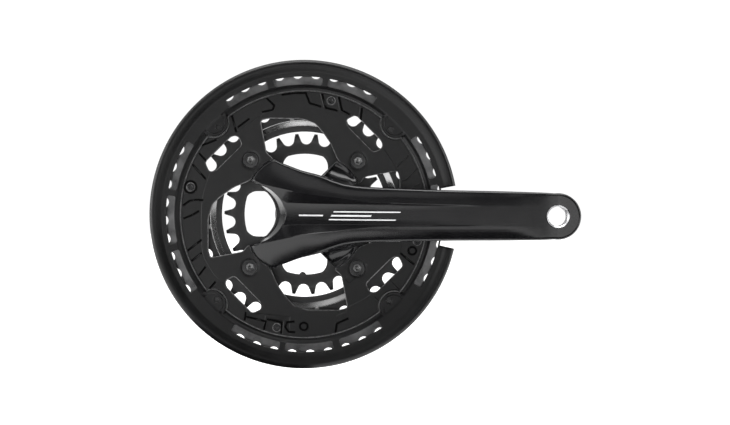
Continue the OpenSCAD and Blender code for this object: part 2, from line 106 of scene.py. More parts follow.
def oblong(x0, x1, y0, y1):
    return np.array([[x0, y0], [x1, y0], [x1, y1], [x0, y1]], float)


def mirrored_line(half):
    """A line drawn down to the x axis, carried on by its mirror image."""
    return half + [(x, -y) for x, y in half[-2::-1]]


def softened(points, cut, steps=5):
    """The outline with each corner rounded, cut being the length taken off each side."""
    p = np.asarray(points, float)
    out = []
    for i, corner in enumerate(p):
        a, b = p[i - 1], p[(i + 1) % len(p)]
        s = corner + (a - corner) * min(cut / np.linalg.norm(a - corner), 0.48)
        e = corner + (b - corner) * min(cut / np.linalg.norm(b - corner), 0.48)
        for t in np.linspace(0, 1, steps):
            out.append(s * (1 - t) ** 2 + corner * 2 * t * (1 - t) + e * t * t)
    return np.array(out)


def flowing(points, steps=6, closed=False):
    """A smooth curve through the points."""
    p = np.asarray(points, float)
    n = len(p)
    out = []
    for i in range(n if closed else n - 1):
        if closed:
            a, b, c, d = p[i - 1], p[i], p[(i + 1) % n], p[(i + 2) % n]
        else:
            a, b, c, d = p[max(i - 1, 0)], p[i], p[i + 1], p[min(i + 2, n - 1)]
        for t in np.arange(steps) / steps:
            bend, twist = 2 * a - 5 * b + 4 * c - d, 3 * b - a - 3 * c + d
            out.append(0.5 * (2 * b + (c - a) * t + bend * t * t + twist * t**3))
    if not closed:
        out.append(p[-1])
    return np.array(out)


def strip(points, width):
    """Outlines of a line of this width through the points, one for each stretch."""
    p = np.asarray(points, float)
    out = []
    for a, b in zip(p[:-1], p[1:]):
        along = (b - a) / np.linalg.norm(b - a) * width / 2
        side = np.array([-along[1], along[0]])
        out.append(np.array([a - along - side, b + along - side, b + along + side, a - along + side]))
    return out


def ring_slot(r0, r1, a0, a1, corner):
    """A slot along a circle with rounded ends."""
    mid = (r0 + r1) / 2
    pad = math.degrees(corner / mid)
    n = max(3, int(math.radians(a1 - a0) * mid))
    bends = [(1 - math.cos(q), 1 - math.sin(q)) for q in np.radians([22.5, 45, 67.5])]
    pts = []
    for sign, near, other, end in ((1, r1, r0, a1), (-1, r0, r1, a0)):
        pts += [polar(near, a) for a in np.linspace(a0 + pad, a1 - pad, n)[::sign]]
        pts += [polar(near - sign * corner * u, end - sign * pad * v) for u, v in bends]
        pts += [polar(other + sign * corner * v, end - sign * pad * u) for u, v in bends]
    return np.array(pts)


def area(loop):
    """The area inside an outline, negative for one that runs clockwise."""
    x, y = loop[:, 0], loop[:, 1]
    return 0.5 * float(np.sum(x * np.roll(y, -1) - y * np.roll(x, -1)))


def ccw(loop):
    return loop if area(loop) > 0 else loop[::-1]


def triangulated(outlines, lines=(), spots=()):
    """The plane cut along outlines and open lines: points, triangles and the outlines each one lies in."""
    points, faces, edges = [], [], []
    for o in outlines:
        faces.append(list(range(len(points), len(points) + len(o))))
        points += [Vector(p) for p in ccw(o)]
    for line in lines:
        at = len(points)
        edges += [(at + i, at + i + 1) for i in range(len(line) - 1)]
        points += [Vector(p) for p in line]
    points += [Vector(p) for p in spots]
    verts, _, tris, _, _, owners = delaunay_2d_cdt(points, edges, faces, 0, 1e-4)
    return np.array([tuple(v) for v in verts]), tris, owners


def borders(tris):
    """Directed edges of the kept triangles that no other kept triangle shares."""
    edges = {(t[i], t[(i + 1) % len(t)]) for t in tris for i in range(len(t))}
    return [e for e in edges if (e[1], e[0]) not in edges]


def region(adds, cuts=(), within=()):
    """Outlines of the union of adds less the union of cuts, kept to what lies in one of within."""
    n, m = len(adds), len(adds) + len(cuts)
    verts, tris, owners = triangulated(list(adds) + list(cuts) + list(within))
    kept = []
    for t, o in zip(tris, owners):
        held = not within or max(o, default=0) >= m
        if held and any(i < n for i in o) and not any(n <= i < m for i in o):
            kept.append(t)
    after = {}
    for a, b in sorted(borders(kept)):
        after.setdefault(a, []).append(b)
    loops = []
    while after:
        start = at = min(after)
        loop = []
        while at in after:
            loop.append(at)
            nxt = after[at].pop()
            if not after[at]:
                del after[at]
            at = nxt
            if at == start:
                break
        pts = verts[loop]
        keep = [i for i in range(len(pts)) if np.linalg.norm(pts[i] - pts[i - 1]) > 0.02]
        if len(keep) > 2 and abs(area(pts[keep])) > 0.05:
            loops.append(pts[keep])
    return loops


def inset(loop, d):
    """The outline moved by d to its left, which is inwards for what region() gives."""
    before, after = np.roll(loop, 1, 0), np.roll(loop, -1, 0)
    e0, e1 = loop - before, after - loop
    e0 /= np.linalg.norm(e0, axis=1)[:, None] + 1e-12
    e1 /= np.linalg.norm(e1, axis=1)[:, None] + 1e-12
    n0, n1 = np.c_[-e0[:, 1], e0[:, 0]], np.c_[-e1[:, 1], e1[:, 0]]
    m = n0 + n1
    m /= np.maximum((m * m).sum(1), 0.7)[:, None]
    return loop + 2 * m * d


def distance(points, loops, closed=True):
    """Distance from each point to the nearest outline."""
    a = np.vstack([l if closed else l[:-1] for l in loops])
    b = np.vstack([np.roll(l, -1, 0) if closed else l[1:] for l in loops])
    d = b - a
    dd = (d * d).sum(1) + 1e-12
    out = np.empty(len(points))
    for i in range(0, len(points), 1000):
        p = points[i : i + 1000, None]
        t = np.clip(((p - a) * d).sum(2) / dd, 0, 1)
        gap = p - a - t[..., None] * d
        out[i : i + 1000] = np.sqrt((gap * gap).sum(2).min(1))
    return out


def inside(points, loops):
    """Whether each point lies in an odd number of the outlines."""
    a = np.vstack(loops)
    b = np.vstack([np.roll(l, -1, 0) for l in loops])
    rise = np.where(np.abs(b[:, 1] - a[:, 1]) < 1e-12, 1e-12, b[:, 1] - a[:, 1])
    out = np.zeros(len(points), bool)
    for i in range(0, len(points), 1000):
        x, y = points[i : i + 1000, :1], points[i : i + 1000, 1:]
        over = (a[:, 1] > y) != (b[:, 1] > y)
        at = a[:, 0] + (y - a[:, 1]) / rise * (b[:, 0] - a[:, 0])
        out[i : i + 1000] = (over & (x < at)).sum(1) % 2 == 1
    return out


def signed(points, loops):
    """Distance to the outlines, positive inside them."""
    return np.where(inside(points, loops), 1, -1) * distance(points, loops)


def away(p, cx=0.0, cy=0.0):
    """How far each point is from a centre."""
    return np.hypot(p[:, 0] - cx, p[:, 1] - cy)


def bevel(rim, width):
    """How much lower a surface is at distance rim from a bevelled edge."""
    return np.clip(width - rim, 0, None)


def rounded(d, r):
    """How much lower a surface is at distance d from an edge rounded with radius r."""
    k = np.clip(r - d, 0, r)
    return r - np.sqrt(r * r - k * k)


def step_up(d, width):
    """A smooth rise from 0 to 1 over this width."""
    t = np.clip(d / width, 0, 1)
    return t * t * (3 - 2 * t)


# ------------ meshes


def relief(outline, front, back, guides=(), lines=(), spots=(), mark=0):
    """A closed plate over an outline, between two height functions; guides and lines become mesh edges.
    mark gives each triangle's finish, from one function for the front or one for each face."""
    n = len(outline)
    verts, tris, owners = triangulated(list(outline) + list(guides), lines, spots)
    kept = [list(t) for t, o in zip(tris, owners) if sum(i < n for i in o) % 2]
    used = sorted({i for t in kept for i in t})
    place = {v: i for i, v in enumerate(used)}
    p = verts[used]
    kept = [[place[i] for i in t] for t in kept]
    rim = distance(p, outline)
    on_rim = sorted({i for e in borders(kept) for i in e})
    rim[on_rim] = 0.0
    zf, zb = front(p, rim), back(p, rim)
    count = len(p)
    v = np.vstack([np.c_[p, zf], np.c_[p, zb]])
    faces = kept + [[i + count for i in t[::-1]] for t in kept]
    walls = [[a + count, b + count, b, a] for a, b in borders(kept)]
    if not isinstance(mark, int):
        top, under = mark if isinstance(mark, tuple) else (mark, None)
        middle = p[np.array(kept)].mean(1)
        blank = np.zeros(len(kept), int)
        faced = [side(middle) if side else blank for side in (top, under)]
        mark = np.r_[faced[0], faced[1], np.zeros(len(walls), int)]
    return v, faces + walls, np.r_[rim, rim], mark


def flat(z):
    return lambda p, rim: np.full(len(p), float(z))


def plate(outline, z0, z1, front_bevel, back_bevel):
    """A plate with bevelled edges."""
    return relief(
        outline,
        lambda p, rim: z1 - bevel(rim, front_bevel),
        lambda p, rim: z0 + bevel(rim, back_bevel),
        [inset(l, w) for l in outline for w in (front_bevel, back_bevel)],
    )


WEAR_AND_HIGHLIGHT_W = 0.9  # how far in from an edge a finish's edge colour reaches: edge wearing on most finishes, a painted highlight on the carrier resin
NO_EDGE = 9.0  # the distance given to surfaces without a worn edge


def wavy(profile, angles, shape):
    """A closed profile of (radius, height) turned about the spindle's axis, shape() changing its radius."""
    prof = ccw(np.asarray(profile, float))
    m, n = len(prof), len(angles)
    reach = [(shape(r, z, t), z, t) for t in angles for r, z in prof]
    v = np.array([(r * math.cos(t), r * math.sin(t), z) for r, z, t in reach])
    faces = []
    for i in range(n):
        j = (i + 1) % n
        for k in range(m):
            l = (k + 1) % m
            faces.append([i * m + k, j * m + k, j * m + l, i * m + l])
    return v, faces, np.full(len(v), NO_EDGE), 0


def lathe(profile, cx=0.0, cy=0.0, n=64, mark=0):
    """A solid turned about an axis parallel to the spindle; its profile is of (radius, height)."""
    v, faces, rim, _ = wavy(profile, np.arange(n) * 2 * math.pi / n, lambda r, z, t: r)
    return v + (cx, cy, 0), faces, rim, mark


def stand(name, data):
    """A new object in the scene."""
    obj = bpy.data.objects.new(name, data)
    bpy.context.scene.collection.objects.link(obj)
    return obj


def make(name, parts, finishes, body, nodes=(), sharp=38.0, weighted=True):
    """One piece from several parts, each a (points, faces, distance from the edge, finish number)."""
    verts, faces, marks, edge, at = [], [], [], [], 0
    for v, f, rim, mark in parts:
        verts.append(v)
        faces += [[i + at for i in face] for face in f]
        marks += [mark] * len(f) if isinstance(mark, int) else [int(m) for m in mark]
        edge.append(rim)
        at += len(v)
    v = np.vstack(verts)
    world = np.c_[v[:, 0], -v[:, 2], v[:, 1]] * MM
    mesh = bpy.data.meshes.new(name)
    mesh.from_pydata(world.tolist(), [], faces)
    layer = mesh.attributes.new("edge", "FLOAT", "POINT")
    near_edge = np.clip(1 - np.concatenate(edge) / WEAR_AND_HIGHLIGHT_W, 0, 1)
    layer.data.foreach_set("value", near_edge.astype(np.float32))
    for material in finishes:
        mesh.materials.append(material)
    mesh.polygons.foreach_set("material_index", marks)
    bm = bmesh.new()
    bm.from_mesh(mesh)
    bmesh.ops.remove_doubles(bm, verts=bm.verts, dist=2e-6)
    bmesh.ops.dissolve_degenerate(bm, dist=1e-6, edges=bm.edges)
    bm.to_mesh(mesh)
    bm.free()
    mesh.polygons.foreach_set("use_smooth", [True] * len(mesh.polygons))
    mesh.set_sharp_from_angle(angle=math.radians(sharp))
    obj = stand(name, mesh)
    if weighted:
        obj.modifiers.new("normals", "WEIGHTED_NORMAL").keep_sharp = True
    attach(obj, body)
    if nodes:
        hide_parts(*nodes)
    return obj


# ------------ finishes


class Nodes:
    """The node tree of a material or of the world, built by name."""

    def __init__(self, owner, shader):
        owner.use_nodes = True
        self.owner = owner
        self.tree = owner.node_tree
        self.shader = self.tree.nodes[shader]

    def add(self, kind, **settings):
        node = self.tree.nodes.new(kind)
        self.settle(node, settings)
        return node

    def settle(self, node, settings):
        """Sets a node's own properties, or its inputs where it has no property of that name."""
        for key, value in settings.items():
            if hasattr(node, key):
                setattr(node, key, value)
            else:
                node.inputs[key].default_value = value

    def join(self, a, b):
        self.tree.links.new(a, b)

    def maths(self, operation, a, b=None):
        node = self.add("ShaderNodeMath", operation=operation)
        for socket, value in zip(node.inputs, (a, b)):
            if value is None:
                continue
            if isinstance(value, (int, float)):
                socket.default_value = value
            else:
                self.join(value, socket)
        return node.outputs[0]

    def between(self, value, low, high, start=0.0, stop=1.0):
        """A value from start to stop spread over low to high."""
        ends = {"From Min": start, "From Max": stop, "To Min": low, "To Max": high}
        node = self.add("ShaderNodeMapRange", **ends)
        self.join(value, node.inputs["Value"])
        return node.outputs["Result"]

    def noise(self, vector, scale, detail=2.0, rough=0.5):
        node = self.add("ShaderNodeTexNoise", Scale=scale, Detail=detail, Roughness=rough)
        self.join(vector, node.inputs["Vector"])
        return node.outputs["Fac"]

    def mixed(self, factor, a, b):
        """A mix of two colours, each a socket, a (red, green, blue) or one number for a grey."""
        node = self.add("ShaderNodeMix", data_type="RGBA")
        self.join(factor, node.inputs["Factor"])
        for socket, value in ((node.inputs[6], a), (node.inputs[7], b)):
            if isinstance(value, float):
                value = (value, value, value)
            if isinstance(value, tuple):
                socket.default_value = value + (1.0,)
            else:
                self.join(value, socket)
        return node.outputs[2]


def surface(name):
    return Nodes(bpy.data.materials.new(name), "Principled BSDF")


CLOUD_SCALE, FLECK_SCALE, WEAR_AND_HIGHLIGHT_SCALE = 70.0, 1300.0, 420.0  # features a metre


def finish(name, dark, light, rough, metallic=0.0, specular=0.5, grain=4500.0, depth=0.00002,
           wear_and_highlight_colour=0.1, wear_and_highlight_share=0.3, brushed=None, fleck=0.0):
    """A procedural finish. dark to light is its cloudy range of colour, rough its roughness range, grain
    its texture in features a metre and depth their height in metres. wear_and_highlight_share is how much of
    wear_and_highlight_colour shows at the edges, as edge wearing on most finishes and as a painted highlight
    on the carrier resin; fleck is how much of that colour shows in small spots. brushed is "round" for
    turned faces or "along"."""
    n = surface(name)
    place = n.add("ShaderNodeTexCoord").outputs["Object"]
    cloud = n.noise(place, CLOUD_SCALE, 3.0, 0.55)
    fine = n.noise(place, grain, 2.0, 0.6)
    if brushed == "round":
        part = n.add("ShaderNodeSeparateXYZ")
        n.join(place, part.inputs[0])
        x, y, z = part.outputs
        radius = n.maths("SQRT", n.maths("ADD", n.maths("MULTIPLY", x, x), n.maths("MULTIPLY", z, z)))
        angle = n.maths("ARCTAN2", z, x)
        joined = n.add("ShaderNodeCombineXYZ")
        n.join(n.maths("MULTIPLY", radius, 6.0), joined.inputs[0])
        n.join(n.maths("MULTIPLY", angle, 0.012), joined.inputs[1])
        n.join(y, joined.inputs[2])
        lines = n.noise(joined.outputs[0], 700.0, 3.0, 0.65)
    elif brushed == "along":
        stretched = n.add("ShaderNodeMapping", Scale=(0.06, 1.0, 1.0))
        n.join(place, stretched.inputs["Vector"])
        lines = n.noise(stretched.outputs["Vector"], 3000.0, 3.0, 0.65)
    else:
        lines = fine
    tone = n.mixed(n.between(cloud, 0.0, 1.0, 0.3, 0.7), dark, light)
    if fleck:
        spots = n.between(n.noise(place, FLECK_SCALE, 1.0, 0.5), 0.0, fleck, 0.62, 0.72)
        tone = n.mixed(spots, tone, wear_and_highlight_colour)
    # the edge colour at the edges: edge wearing on most finishes, a painted highlight on the carrier resin
    edge = n.add("ShaderNodeAttribute", attribute_name="edge").outputs["Fac"]
    patchy = n.between(n.noise(place, WEAR_AND_HIGHLIGHT_SCALE, 3.0, 0.6), 0.2, 1.0, 0.35, 0.65)
    wear_and_highlight = n.maths("MULTIPLY", n.maths("MULTIPLY", n.maths("POWER", edge, 2.2), patchy), wear_and_highlight_share)
    n.join(n.mixed(wear_and_highlight, tone, wear_and_highlight_colour), n.shader.inputs["Base Color"])
    texture = n.maths("ADD", n.maths("MULTIPLY", cloud, 0.55), n.maths("MULTIPLY", lines, 0.45))
    n.join(n.between(texture, rough[0], rough[1], 0.35, 0.65), n.shader.inputs["Roughness"])
    bump = n.add("ShaderNodeBump", Strength=1.0, Distance=depth)
    height = n.maths("ADD", n.maths("MULTIPLY", fine, 0.5), n.maths("MULTIPLY", lines, 0.5))
    n.join(height, bump.inputs["Height"])
    n.join(bump.outputs["Normal"], n.shader.inputs["Normal"])
    n.settle(n.shader, {"Metallic": metallic, "Specular IOR Level": specular})
    return n.owner


BLACK_ARM = finish("arm_anodised", (0.003, 0.003, 0.0035), (0.005, 0.005, 0.0055), (0.16, 0.22),
                   specular=0.42, grain=5200.0, depth=3e-6, wear_and_highlight_colour=(0.05, 0.05, 0.055), wear_and_highlight_share=0.25,
                   brushed="along")
BARE_ALLOY = finish("bare_alloy", (0.52, 0.52, 0.53), (0.68, 0.68, 0.69), (0.22, 0.38), metallic=1.0,
                    grain=5200.0, depth=1e-5, wear_and_highlight_colour=0.8, wear_and_highlight_share=0.2)
BLACK_CUP = finish("cup_anodised", (0.006, 0.006, 0.0065), (0.011, 0.011, 0.0115), (0.3, 0.42),
                   grain=5000.0, depth=1e-5, wear_and_highlight_colour=0.2, wear_and_highlight_share=0.4, brushed="round")
# the resin's light edge colour is a painted highlight along the carrier's edges and shoulder arcs
RESIN = finish("carrier_resin", (0.0025, 0.0025, 0.0027), (0.0042, 0.0042, 0.0045), (0.36, 0.48),
               specular=0.34, grain=3600.0, depth=8e-6, wear_and_highlight_colour=0.3, wear_and_highlight_share=0.8, fleck=0.01)
# a near-black finish laid on the floors of the carrier's grooves as painted shade, darker than their own
# shadow
GROOVE_PAINTED_SHADE = finish("carrier_groove_painted_shade", 0.001, 0.002, (0.7, 0.8), specular=0.1, grain=3600.0, depth=8e-6,
                wear_and_highlight_colour=0.01, wear_and_highlight_share=0.1)
GUARD = finish("guard_resin", (0.0025, 0.0025, 0.0027), (0.0042, 0.0042, 0.0045), (0.3, 0.4),
               specular=0.28, grain=4200.0, depth=6e-6, wear_and_highlight_colour=0.05, wear_and_highlight_share=0.3)
TOOTH = finish("tooth_steel", (0.065, 0.065, 0.066), (0.18, 0.18, 0.182), (0.26, 0.42), metallic=1.0,
               grain=4200.0, depth=8e-6, wear_and_highlight_colour=0.6, wear_and_highlight_share=0.5, brushed="round")
DARK_RING = finish("ring_blackened", (0.006, 0.006, 0.0065), (0.012, 0.012, 0.0125), (0.28, 0.42),
                   metallic=0.2, grain=4200.0, depth=1.4e-5, wear_and_highlight_colour=0.16, wear_and_highlight_share=0.45, brushed="round")
BRIGHT_RING = finish("ring_turned", 0.26, 0.4, (0.1, 0.16), metallic=1.0, grain=4200.0, depth=1e-5,
                     wear_and_highlight_colour=0.6, wear_and_highlight_share=0.3, brushed="round")
BLACK_BOLT = finish("bolt_blackened", (0.006, 0.006, 0.0065), (0.012, 0.012, 0.0125), (0.24, 0.34),
                    metallic=0.2, grain=6000.0, depth=8e-6, wear_and_highlight_colour=0.3, wear_and_highlight_share=0.5)
SOCKET = finish("bolt_socket", 0.08, 0.2, (0.2, 0.34), metallic=1.0, grain=6000.0, depth=8e-6,
                wear_and_highlight_colour=0.4, wear_and_highlight_share=0.3)
BRIGHT_STEEL = finish("bright_steel", 0.32, 0.46, (0.2, 0.34), metallic=1.0, grain=6000.0, depth=8e-6,
                      wear_and_highlight_colour=0.8, wear_and_highlight_share=0.3)
SPINDLE = finish("spindle_steel", (0.25, 0.25, 0.255), (0.34, 0.34, 0.345), (0.22, 0.35), metallic=1.0,
                 grain=6000.0, depth=6e-6, wear_and_highlight_colour=0.7, wear_and_highlight_share=0.3, brushed="along")
NYLON = finish("bush_nylon", (0.012, 0.012, 0.0125), (0.018, 0.018, 0.0185), (0.45, 0.58), grain=3600.0,
               depth=2e-5, wear_and_highlight_colour=0.08, wear_and_highlight_share=0.2)
SLEEVE = finish("sleeve_resin", (0.014, 0.014, 0.015), (0.022, 0.022, 0.023), (0.4, 0.55), grain=3000.0,
                depth=3e-5, wear_and_highlight_colour=0.1, wear_and_highlight_share=0.2, fleck=0.1)
RUBBER = finish("seal_rubber", 0.012, 0.02, (0.6, 0.75), grain=3600.0, depth=3e-5, wear_and_highlight_colour=0.05, wear_and_highlight_share=0.2)
PRINT = finish("printed_mark", (0.6, 0.6, 0.61), (0.72, 0.72, 0.73), (0.4, 0.5), grain=5200.0,
               depth=6e-6, wear_and_highlight_colour=0.4, wear_and_highlight_share=0.1)

# ------------ crank arm

# x, half the width overall, at the crest and at the channel, then heights of back, edge, crest and channel
ARM = np.array([
    [-37.0, 21.2, 18.6, 7.0, 51.5, 61.0, 61.6, 60.0],
    [-34.0, 26.9, 21.2, 7.0, 51.5, 61.6, 62.8, 61.0],
    [-31.0, 30.5, 20.6, 7.0, 51.5, 62.0, 63.7, 61.8],
    [-27.0, 33.9, 19.8, 7.0, 51.5, 62.6, 64.9, 62.8],
    [-24.0, 35.7, 19.1, 7.0, 51.5, 63.1, 65.8, 63.5],
    [-21.7, 36.9, 18.5, 7.0, 51.5, 63.5, 66.5, 64.1],
    [-15.0, 34.7, 17.0, 7.0, 51.5, 65.1, 68.4, 65.4],
    [-8.0, 32.1, 15.4, 7.0, 51.5, 66.7, 70.1, 66.6],
    [-2.0, 29.9, 14.2, 6.9, 51.5, 68.0, 71.4, 67.6],
    [4.0, 28.3, 13.4, 6.8, 51.5, 69.3, 72.5, 68.7],
    [10.0, 26.8, 12.7, 6.7, 51.8, 70.5, 73.4, 69.8],
    [17.0, 24.3, 12.0, 6.6, 53.5, 71.8, 74.2, 71.1],
    [23.0, 22.2, 11.3, 6.5, 56.2, 72.8, 74.9, 72.3],
    [29.0, 20.7, 10.5, 6.4, 58.8, 73.7, 75.6, 73.4],
    [37.0, 19.5, 9.5, 6.3, 60.8, 74.8, 76.4, 74.8],
    [45.0, 18.8, 8.6, 6.2, 61.8, 75.8, 77.2, 76.0],
    [54.0, 18.3, 8.0, 6.2, 62.7, 76.9, 78.1, 77.2],
    [66.0, 17.9, 7.5, 6.1, 64.0, 78.3, 79.3, 78.7],
    [80.0, 17.4, 7.2, 6.1, 65.8, 79.9, 80.8, 80.4],
    [92.0, 17.1, 7.1, 6.1, 67.3, 81.3, 82.1, 81.9],
    [106.0, 16.9, 7.0, 6.1, 69.1, 82.8, 83.6, 83.5],
    [120.0, 16.7, 7.0, 6.1, 70.9, 84.3, 85.1, 85.1],
    [134.0, 16.5, 7.0, 6.1, 72.7, 85.8, 86.6, 86.6],
    [150.0, 16.1, 7.0, 6.1, 74.7, 87.5, 88.2, 88.2],
    [162.0, 15.7, 7.0, 6.1, 76.0, 88.8, 89.4, 89.4],
    [170.0, 15.2, 7.0, 6.1, 76.8, 89.3, 89.8, 89.8],
])
ARM_COLUMNS = ("half", "crest", "floor", "back", "edge", "ridge", "channel")


def arm(column, x):
    """One measure of the arm at each x, as a smooth curve through the stations."""
    k = 1 + ARM_COLUMNS.index(column)
    xs, ys = ARM[:, 0], ARM[:, k]
    slope = np.gradient(ys, xs)
    x = np.clip(x, xs[0], xs[-1])
    i = np.clip(np.searchsorted(xs, x) - 1, 0, len(xs) - 2)
    w = xs[i + 1] - xs[i]
    t = (x - xs[i]) / w
    return (
        (2 * t**3 - 3 * t**2 + 1) * ys[i]
        + (t**3 - 2 * t**2 + t) * w * slope[i]
        + (3 * t**2 - 2 * t**3) * ys[i + 1]
        + (t**3 - t**2) * w * slope[i + 1]
    )


PEDAL_X = 170.0
EYE_R = 15.5
EYE_FRONT = front_of("crank_arm")
EYE_BACK = 76.5
PEDAL_R, SLEEVE_WALL = 7.14, 0.35
PEDAL_PITCH = 1.27
SHOULDER_AT, SHOULDER_R, SHOULDER_HALF = 15.7, 27.8, 10.3
SPIDER_BACK, TAB_FRONT = 51.5, 55.7
BOLT_R, INNER_BOLT_R = 52.0, 32.0  # the radii of the two bolt circles
BOLT_HOLE_R = 5.0

# the notch in the hub's left side, at its foot and at its mouth
NOTCH_SIDE = [(-60, 31), (-44, 25.2), (-36.8, 22.3)]
NOTCH_REAR = flowing(mirrored_line(
    NOTCH_SIDE + [(-30.6, 19.6), (-27.6, 16.6), (-23.6, 12.2), (-20.6, 7.0), (-19.3, 0)]))
NOTCH_FRONT = flowing(mirrored_line(
    NOTCH_SIDE + [(-30.4, 19.7), (-23.7, 16.9), (-17.6, 11.7), (-13.9, 5.9), (-12.4, 0)]))

stations = np.r_[np.arange(-37.0, -21, 0.8), np.arange(-20.5, 170.1, 1.5), 170.0]
upper = np.c_[stations, arm("half", stations)]
arm_flanks = np.vstack([upper, (upper * (1, -1))[::-1]])
arm_outline = region(
    [arm_flanks, circle(EYE_R, PEDAL_X, 0, 0.8)],
    [NOTCH_REAR, circle(PEDAL_R + SLEEVE_WALL, PEDAL_X, 0, 0.7)],
)
arm_rim = [l for l in arm_outline if abs(area(l)) > 500]
EDGE_W, EDGE_CUT, FALL = 1.7, 1.45, 1.1
BACK_EDGE, BACK_HOLLOW = 3.0, 2.4
LEVEL_FROM, LEVEL_W = 24, 26.0  # where the side facets level out by the pedal eye


def arm_top(p):
    """The arm's front surface before its edges are taken off."""
    x, s = p[:, 0], np.abs(p[:, 1])
    half, crest, floor = arm("half", x), arm("crest", x), arm("floor", x)
    edge, ridge, channel = arm("edge", x), arm("ridge", x), arm("channel", x)
    inner = np.clip((s - floor) / np.maximum(crest - floor, 0.4), 0, 1)
    outer = np.clip((s - crest) / np.maximum(half - crest, 0.4), 0, 1.3)
    dish = 0.25 * np.clip(1 - (s / floor) ** 2, 0, 1) * step_up(40 - x, 40)
    low = channel - dish + (ridge - channel) * (inner * 0.65 + 0.35 * inner * inner)
    drop = (ridge - edge) * (outer * 0.45 + outer * outer * 0.55) + FALL * outer**2.6 * step_up(x + 12, 50)
    far = away(p, PEDAL_X)
    level = step_up(EYE_R + LEVEL_FROM - far, LEVEL_W)
    return np.where(s < crest, low, ridge - drop * (1 - level))


def arm_front(p, rim):
    z = arm_top(p)
    edge = distance(p, arm_rim)
    z -= np.minimum(rounded(edge, EDGE_W), EDGE_CUT)
    z -= np.clip(0.5 - (away(p, PEDAL_X) - PEDAL_R - SLEEVE_WALL), 0, 0.5)
    rear, mouth = distance(p, [NOTCH_REAR], False), distance(p, [NOTCH_FRONT], False)
    in_mouth = inside(p, [NOTCH_FRONT]) | (mouth < 0.02)
    lip = np.clip(1 - mouth / 0.7, 0, 1) ** 2 * 0.8
    share = rear / np.maximum(rear + mouth, 1e-6)
    foot = SPIDER_BACK + 1.2
    wall = foot + (arm_top(p) - 0.8 - foot) * share
    return np.where(in_mouth, np.minimum(wall, z), z - np.where(p[:, 0] < -8, lip, 0))


def arm_back(p, rim):
    x = p[:, 0]
    z = arm("back", x)
    far = away(p, PEDAL_X)
    z = np.where(x > 140, z + (EYE_BACK - z) * step_up(EYE_R + 6 - far, 6.0), z)
    free = np.clip((x - 12) / 14, 0, 1)
    edge = distance(p, arm_rim)
    from_side = arm("half", x) - np.abs(p[:, 1])
    hollow = BACK_HOLLOW * step_up(from_side - 4.5, 3.0) * step_up(x - 66, 10) * step_up(146 - x, 12)
    return z + rounded(edge, BACK_EDGE) * free + rounded(edge, 0.5) * (1 - free) + hollow


def both_sides(x, y):
    return [np.c_[x, y], np.c_[x, -y]]


def along(column, factor=1.0, offset=0.0, x0=-36.5, x1=168.0, step=1.5):
    """Lines that follow one measure of the arm, on both sides."""
    x = np.arange(x0, x1, step)
    return both_sides(x, arm(column, x) * factor + offset)


arm_lines = []
flank_x = np.arange(-36.0, 156.0, 1.5)
flank_w = arm("half", flank_x) - EDGE_W - arm("crest", flank_x)
for share in (0.25, 0.5, 0.75):
    arm_lines += both_sides(flank_x, arm("crest", flank_x) + flank_w * share)
arm_lines += along("crest") + along("crest", 1, 0.6) + along("crest", 1, -0.6) + along("floor")
arm_lines += along("floor", 0.5, x0=-12) + along("floor", 1, 0.8, x1=60.0)
middle_x = np.arange(-12.0, 160, 1.5)
arm_lines.append(np.c_[middle_x, np.zeros_like(middle_x)])
for from_side in (4.5, 6.0, 7.5):
    arm_lines += along("half", 1, -from_side, 64.0, 148, 2.0)
arm_guides = [inset(l, EDGE_W * k) for l in arm_rim for k in (0.02, 0.1, 0.26, 0.45, 0.66, 1.0)]
arm_guides += [inset(l, BACK_EDGE * k) for l in arm_rim for k in (0.617, 0.8, 1.0)]
arm_guides += [circle(PEDAL_R + k, PEDAL_X, 0, 0.8) for k in (0.85, 3.2, 5.4, 7.2)]
wall_lines = [NOTCH_FRONT] + [NOTCH_REAR + (NOTCH_FRONT - NOTCH_REAR) * k for k in (0.25, 0.5, 0.75)]
mouth_lines = [NOTCH_FRONT + (dx, 0) for dx in (0.25, 0.5, 0.8, 1.4)]
arm_body = relief(arm_outline, arm_front, arm_back, arm_guides, arm_lines + wall_lines + mouth_lines)

# spider plate with its four tabs, under the rings
bolt_holes = four(circle(BOLT_HOLE_R, BOLT_R, 0, 0.6))
tab = softened([(15, -10.3), (BOLT_R, -9.9), (BOLT_R, 9.9), (15, 10.3)], 0.5, 3)
spider_outline = region(
    four(tab) + four(circle(9.5, BOLT_R)) + [circle(21.0)],
    [NOTCH_REAR] + bolt_holes + [circle(12.0)],
)
spider = plate(spider_outline, SPIDER_BACK, TAB_FRONT, 0.4, 1.0)

# right-hand webs, dished between the arm's flank and a raised lip along the carrier
WEB_FLOOR, WEB_LIP, WEB_FILLET, WEB_UNDER = 59.6, 1.3, 12.0, 2.6
shoulder_circle = circle(SHOULDER_R, SHOULDER_AT, 0, 0.8)
web_strip = oblong(12, 62, -SHOULDER_HALF, SHOULDER_HALF)


def web_part(degrees):
    """The web on one side of the arm, clear of the arm's own surface."""
    keep = region([turn(web_strip, degrees)], within=[turn(shoulder_circle, degrees)])

    def front(p, rim):
        local = turn(p, -degrees)
        from_lip = SHOULDER_R - away(local, SHOULDER_AT)
        flank = np.clip(-signed(p, [arm_flanks]), 0, None)
        k = np.clip(WEB_FILLET - flank, 0, WEB_FILLET)
        fillet = WEB_FILLET - np.sqrt(WEB_FILLET**2 - k * k)
        z = WEB_FLOOR + WEB_LIP * (1 - step_up(from_lip - 0.6, 3.0)) + fillet
        return np.minimum(z - bevel(rim, 0.6), arm_top(p) - WEB_UNDER)

    grid = np.array([(u, v) for u in np.arange(13, 44, 0.8) for v in np.arange(-9.4, 9.5, 0.8)])
    guides = [inset(l, 0.6) for l in keep]
    return relief(keep, front, flat(SPIDER_BACK), guides, (), turn(grid, degrees))


